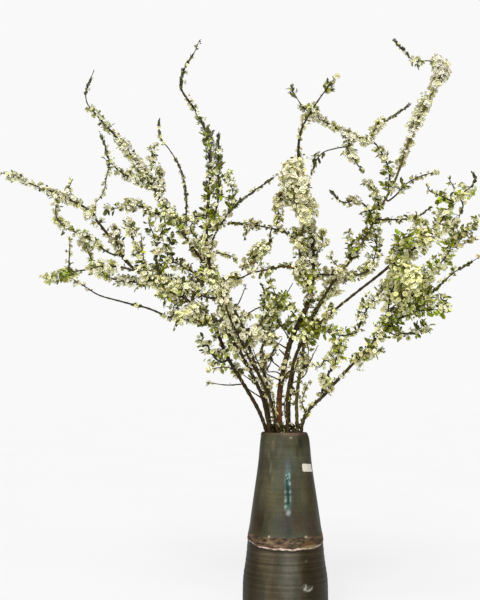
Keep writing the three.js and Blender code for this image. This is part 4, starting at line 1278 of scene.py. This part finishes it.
def vase_piece():
    """The vase turned from its profile, with its relief, its colours and the places of its marks."""
    radius, height, indoors = (values[:, None] for values in vase_profile(cad_wall()))
    rows = len(radius)
    angle = (ring_angles(VASE_COLUMNS) - math.pi)[None, :]
    radius, height, indoors, angle = np.broadcast_arrays(radius, height, indoors, angle)
    wall = Wall(height, angle)
    edge = wall.edge() * MM
    outer = (~indoors) & (radius > 40 * MM) & (height > 0)
    step = EDGE_STEP * smooth_step(height, edge - 1.6 * MM, edge + 0.4 * MM)
    step = step * (1 - smooth_step(height, edge + 3 * MM, edge + 30 * MM))
    relief = RING_DEPTH * wall.rings() * smooth_step(height, 4 * MM, 20 * MM) + step
    relief = relief + RUN_DEPTH * wall.run()[0] + CRESCENT_DEPTH * wall.crescent()
    relief = relief + WOBBLE * np.sin(3 * angle + height / (60 * MM))
    worn = LIP_WEAR * smooth_step(np.sin(angle), 0.1, 1.0) * smooth_step(height, RIM - 15 * MM, RIM)
    radius = radius + np.where(outer, relief, 0.0) - np.where(radius > 25 * MM, worn, 0.0)
    sway = SWAY * np.sin(2 * angle + 0.7) * smooth_step(height, 300 * MM, 420 * MM)
    height = height + np.where(height > 400 * MM, sway, 0.0)
    places = np.stack([radius * np.sin(angle), -radius * np.cos(angle), height], axis=-1)

    wall = Wall(height, angle)
    wall.paint()
    colours = np.where(indoors[..., None], np.array(INSIDE), wall.colours)
    above_edge = wall.level - wall.edge()
    crust = smooth_step(above_edge, -0.6, 0.6) * (1 - smooth_step(wall.level, 217, 225)) * outer
    middle = np.exp(-((wall.degrees + 4) / 30) ** 4)
    torn = np.exp(-((above_edge - 1.2 - 0.6 * middle) / (1.3 + 1.0 * middle)) ** 2) * outer
    torn = torn * (0.75 + 0.25 * middle)
    rust = 0.8 * wall.mark(206, 38, 16, 38)
    for spot in DARK_SPECKS + PALE_SPECKS:
        rust = np.maximum(rust, wall.mark(*spot, 3.2, 4))
    dryness = np.clip(0.7 * crust + 0.25 * (above_edge < 0) + indoors, 0.0, 1.0)

    heap = Heap()
    heap.add(np.vstack([places.reshape(-1, 3), [0, 0, 0.0], [0, 0, FLOOR]]), capped_wall(rows, VASE_COLUMNS),
             np.vstack([colours.reshape(-1, 3), colours[0, :1], colours[-1, :1]]))
    piece = heap.piece("stoneware_vase", glaze_material())
    for name, values in (("crust", crust), ("torn_edge", torn), ("rust", rust), ("dryness", dryness)):
        values = np.concatenate([values.ravel(), [0.0, 0.0]]).astype(np.float32)
        piece.data.attributes.new(name, "FLOAT", "POINT").data.foreach_set("value", values)
    claim(piece, ["vase"])


# ---------------------------------------------------------------- label

LABEL_TILT = math.tan(math.radians(4.0))
LABEL_SHARE = 0.92          # its size against that of the CAD label
LABEL_GAP = 0.3 * MM
LABEL_THICKNESS = 0.45 * MM
LABEL_GRID = (17, 33)       # rows and columns of its vertices


def label_piece(rng):
    """A blank paper label bent round the wall, with softened corners and one corner just lifting."""
    places, _ = merged_mesh("price_label")
    angles = np.arctan2(places[:, 0], -places[:, 1])
    radius = cad_wall()
    start, end = angles.min(), angles.max()
    bottom, top = places[:, 2].min(), places[:, 2].max()
    tall, across = LABEL_GRID
    u, v = np.meshgrid(np.linspace(0, 1, across), np.linspace(0, 1, tall))
    corner = (np.abs(u - 0.5) * 2) ** 12 * (np.abs(v - 0.5) * 2) ** 12
    angle = start + (end - start) * (LABEL_SHARE / 2 + (u - 0.5) * LABEL_SHARE * (1 - 0.03 * corner))
    height = bottom + (top - bottom) * (0.5 + (v - 0.5) * LABEL_SHARE * (1 - 0.05 * corner))
    height = height - LABEL_TILT * (u - 0.5) * (end - start) * radius((bottom + top) / 2)
    wall = np.vectorize(radius)(height)
    lift = 0.9 * MM * smooth_step(u + (1 - v), 1.5, 2.0) + 0.05 * MM * rng.normal(size=u.shape)
    layers = []
    for depth in (0.0, LABEL_THICKNESS):
        out = wall + LABEL_GAP + lift + depth
        layers.append(np.stack([out * np.sin(angle), -out * np.cos(angle), height], axis=-1).reshape(-1, 3))
    count = across * tall
    grid = np.arange(count).reshape(tall, across)
    cell = grid[:-1, :-1].ravel()
    outer = np.vstack([np.stack([cell, cell + 1, cell + across + 1], axis=1),
                       np.stack([cell, cell + across + 1, cell + across], axis=1)])
    faces = [outer[:, ::-1], outer + count]
    ring = [*grid[0], *grid[1:, -1], *grid[-1, -2::-1], *grid[-2:0:-1, 0]]
    for here, after in zip(ring, [*ring[1:], ring[0]]):
        faces.append([[here, after, after + count], [here, after + count, here + count]])
    heap = Heap()
    rims = np.tile(np.isin(np.arange(count), ring), 2)
    heap.add(np.vstack(layers), np.vstack(faces), np.full((count * 2, 3), 0.8), rims)
    claim(heap.piece("paper_price_label", paper_material()), ["price_label"])


# ---------------------------------------------------------------- branches

REACH_SCALE = 1.20        # of every reach in the tables above
COVER_SCALE = 1.75        # of every cover
MOUTH = 27 * MM           # the twigs that crowd the mouth end within this of the axis
DRESSED_ABOVE = RIM + 3 * MM
STEM_TIP = 1.7 * MM
SHOOT_BASE = (1.4 * MM, 2.6 * MM)    # least and most
SHOOT_TIP = 0.9 * MM
TWIG_BASE = 1.7 * MM
STEM_WOOD_SIDES = 9       # sides of the visible wood
SHOOT_WOOD_SIDES = 6
TWIG_WOOD_SIDES = 5
MOUTH_SEED = 500          # branches and twigs have the seeds below this
PIECE_SEED = 1000
LABEL_SEED = 2002

PETAL = petal_material()
LEAF = leaf_material()
BARK = wood_material()


def main_stem_of(name):
    """The main stem that a branch grows on, through any branches between them."""
    while BRANCHES[name][0]:
        name = BRANCHES[name][0]
    return name


def crowd_mouth(growth, path, rng):
    """Short dark leafy twigs that crowd round a stem where it leaves the vase."""
    foot = path.points[int(np.argmin(np.abs(path.points[:, 2] - RIM + 2 * MM)))]
    for _ in range(4):
        turn = rng.uniform(0, 2 * math.pi)
        tip = foot + np.array([math.cos(turn), math.sin(turn), 0.0]) * rng.uniform(7, 13) * MM
        tip[:2] *= min(1.0, MOUTH / np.hypot(tip[0], tip[1]))
        tip[2] = RIM + rng.uniform(6, 14) * MM
        middle = (foot + tip) / 2 + np.array([0.0, 0.0, -2 * MM])
        twig = Path([foot, middle, tip], np.full(3, TWIG_BASE))
        radii = TWIG_BASE * (1 - 0.5 * twig.shares)
        growth.branch(twig, radii, (DARK_WOOD, DARK_WOOD), TWIG_WOOD_SIDES, [(1.0, "crowd", 6, 0)], rng)


def branch_pieces():
    """Wood, leaves and flowers of each main stem and of everything that grows on it."""
    paths = branch_paths()
    growths = {name: Growth(name) for name, (parent, _) in BRANCHES.items() if not parent}
    wood = {}
    for index, (name, (parent, stretches)) in enumerate(BRANCHES.items()):
        rng = np.random.default_rng([SEED, index])
        path = paths[name]
        tints = WOOD_TINTS.get(name, (GREY_WOOD, GREY_WOOD) if parent else (DARK_WOOD, DARK_WOOD))
        if parent:
            joint = paths[parent].nearest(path.points[0])
            base = max(min(0.8 * wood[parent][joint], SHOOT_BASE[1]), SHOOT_BASE[0])
            wood[name] = wood_radii(path, base, SHOOT_TIP)
        else:
            wood[name] = wood_radii(path, path.radii[0], STEM_TIP)
        sides = SHOOT_WOOD_SIDES if parent else STEM_WOOD_SIDES
        growths[main_stem_of(name)].branch(path, wood[name], tints, sides, stretches, rng)
    for index, (parent, knots, stretches) in enumerate(TWIGS):
        rng = np.random.default_rng([SEED, len(BRANCHES) + index])
        start = paths[parent].points[paths[parent].nearest(knots[0])]
        path = Path(np.vstack([start, knots[1:]]), np.full(len(knots), TWIG_BASE))
        radii = TWIG_BASE * (1 - 0.6 * path.shares)
        tints = (TWIG_WOOD, TWIG_WOOD)
        growths[main_stem_of(parent)].branch(path, radii, tints, TWIG_WOOD_SIDES, stretches, rng)
    for index, (name, growth) in enumerate(growths.items()):
        crowd_mouth(growth, paths[name], np.random.default_rng([SEED, MOUTH_SEED + index]))
        rng = np.random.default_rng([SEED, PIECE_SEED + index])
        nodes = [node for node in BRANCHES if main_stem_of(node) == name]
        claim(growth.wood.piece(name + ".wood", BARK), nodes)
        claim(growth.leaf_piece(name + ".leaves", rng), nodes)
        claim(growth.flower_piece(name + ".flowers", rng), nodes)


# ---------------------------------------------------------------- studio

CAMERA_PLACE = (0.0, -1.540, 0.480)
CAMERA_YAW = math.radians(3.515)     # turned to the left
CAMERA_PITCH = math.radians(7.93)    # looking up
CAMERA_ROLL = math.radians(-0.37)
CAMERA_LENS = 44.04
BACKDROP = 0.947                     # brightness that the camera sees behind everything
FLOOR_REACH = 60.0
FLOOR_SHADE = 0.24
FLOOR_GLOW = 0.70                    # keeps the shadows on the floor as light as in the photo
FILL_LOW = 0.12                      # light from the horizon and below
FILL_TOP = 0.50                      # light from straight above
KEY_LIGHT = 2.85
FRONT_LIGHT = 1.2


def camera():
    """The photo's view, from the camera's place and how it is turned."""
    data = bpy.data.cameras.new("camera")
    data.lens = CAMERA_LENS
    data.sensor_fit = "VERTICAL"
    data.sensor_height = 36.0
    data.clip_end = 200
    view = added("camera", data)
    ahead = Vector((-math.sin(CAMERA_YAW) * math.cos(CAMERA_PITCH),
                    math.cos(CAMERA_YAW) * math.cos(CAMERA_PITCH), math.sin(CAMERA_PITCH)))
    level = Vector((math.cos(CAMERA_YAW), math.sin(CAMERA_YAW), 0.0))
    above = level.cross(ahead)
    right = level * math.cos(CAMERA_ROLL) - above * math.sin(CAMERA_ROLL)
    up = level * math.sin(CAMERA_ROLL) + above * math.cos(CAMERA_ROLL)
    columns = zip(right, up, -ahead, CAMERA_PLACE)
    view.matrix_world = Matrix([*columns, (0.0, 0.0, 0.0, 1.0)])
    bpy.context.scene.camera = view


def floor():
    """A wide pale floor just below the foot."""
    mesh = bpy.data.meshes.new("floor")
    rim = [(FLOOR_REACH * math.cos(a), FLOOR_REACH * math.sin(a), -0.5 * MM) for a in ring_angles(64)]
    mesh.from_pydata(rim, [], [tuple(range(len(rim)))])
    mesh.materials.append(floor_material())
    added("floor", mesh)


def sun(name, direction, energy, spread):
    """A sun that shines in a direction. The spread of its light is in degrees."""
    data = bpy.data.lights.new(name, "SUN")
    data.energy = energy
    data.angle = math.radians(spread)
    added(name, data).rotation_euler = Vector(direction).to_track_quat("-Z", "Y").to_euler()


def studio():
    """Soft light from above and in front; the backdrop that the camera sees is even and pale."""
    world = bpy.data.worlds.new("studio")
    bpy.context.scene.world = world
    nodes = Nodes(world)
    direction = nodes.node("TexCoord").outputs["Generated"]
    height = nodes.node("SeparateXYZ", {"Vector": direction}).outputs["Z"]
    levels = {"Value": height, "To Min": FILL_LOW, "To Max": FILL_TOP}
    rise = nodes.node("MapRange", levels).outputs["Result"]
    fill = nodes.node("Background", {"Strength": rise}).outputs["Background"]
    backdrop = nodes.node("Background", {"Color": (BACKDROP,) * 3}).outputs["Background"]
    seen = nodes.node("LightPath").outputs["Is Camera Ray"]
    choose = nodes.node("MixShader", {0: seen, 1: fill, 2: backdrop}).outputs["Shader"]
    nodes.node("OutputWorld", {"Surface": choose})
    sun("key_light", (0.12, 0.95, -0.9), KEY_LIGHT, 24)
    sun("front_light", (0.1, 1.0, -0.1), FRONT_LIGHT, 60)
    bpy.context.scene.view_settings.view_transform = "Standard"


camera()
floor()
studio()
vase_piece()
label_piece(np.random.default_rng([SEED, LABEL_SEED]))
branch_pieces()
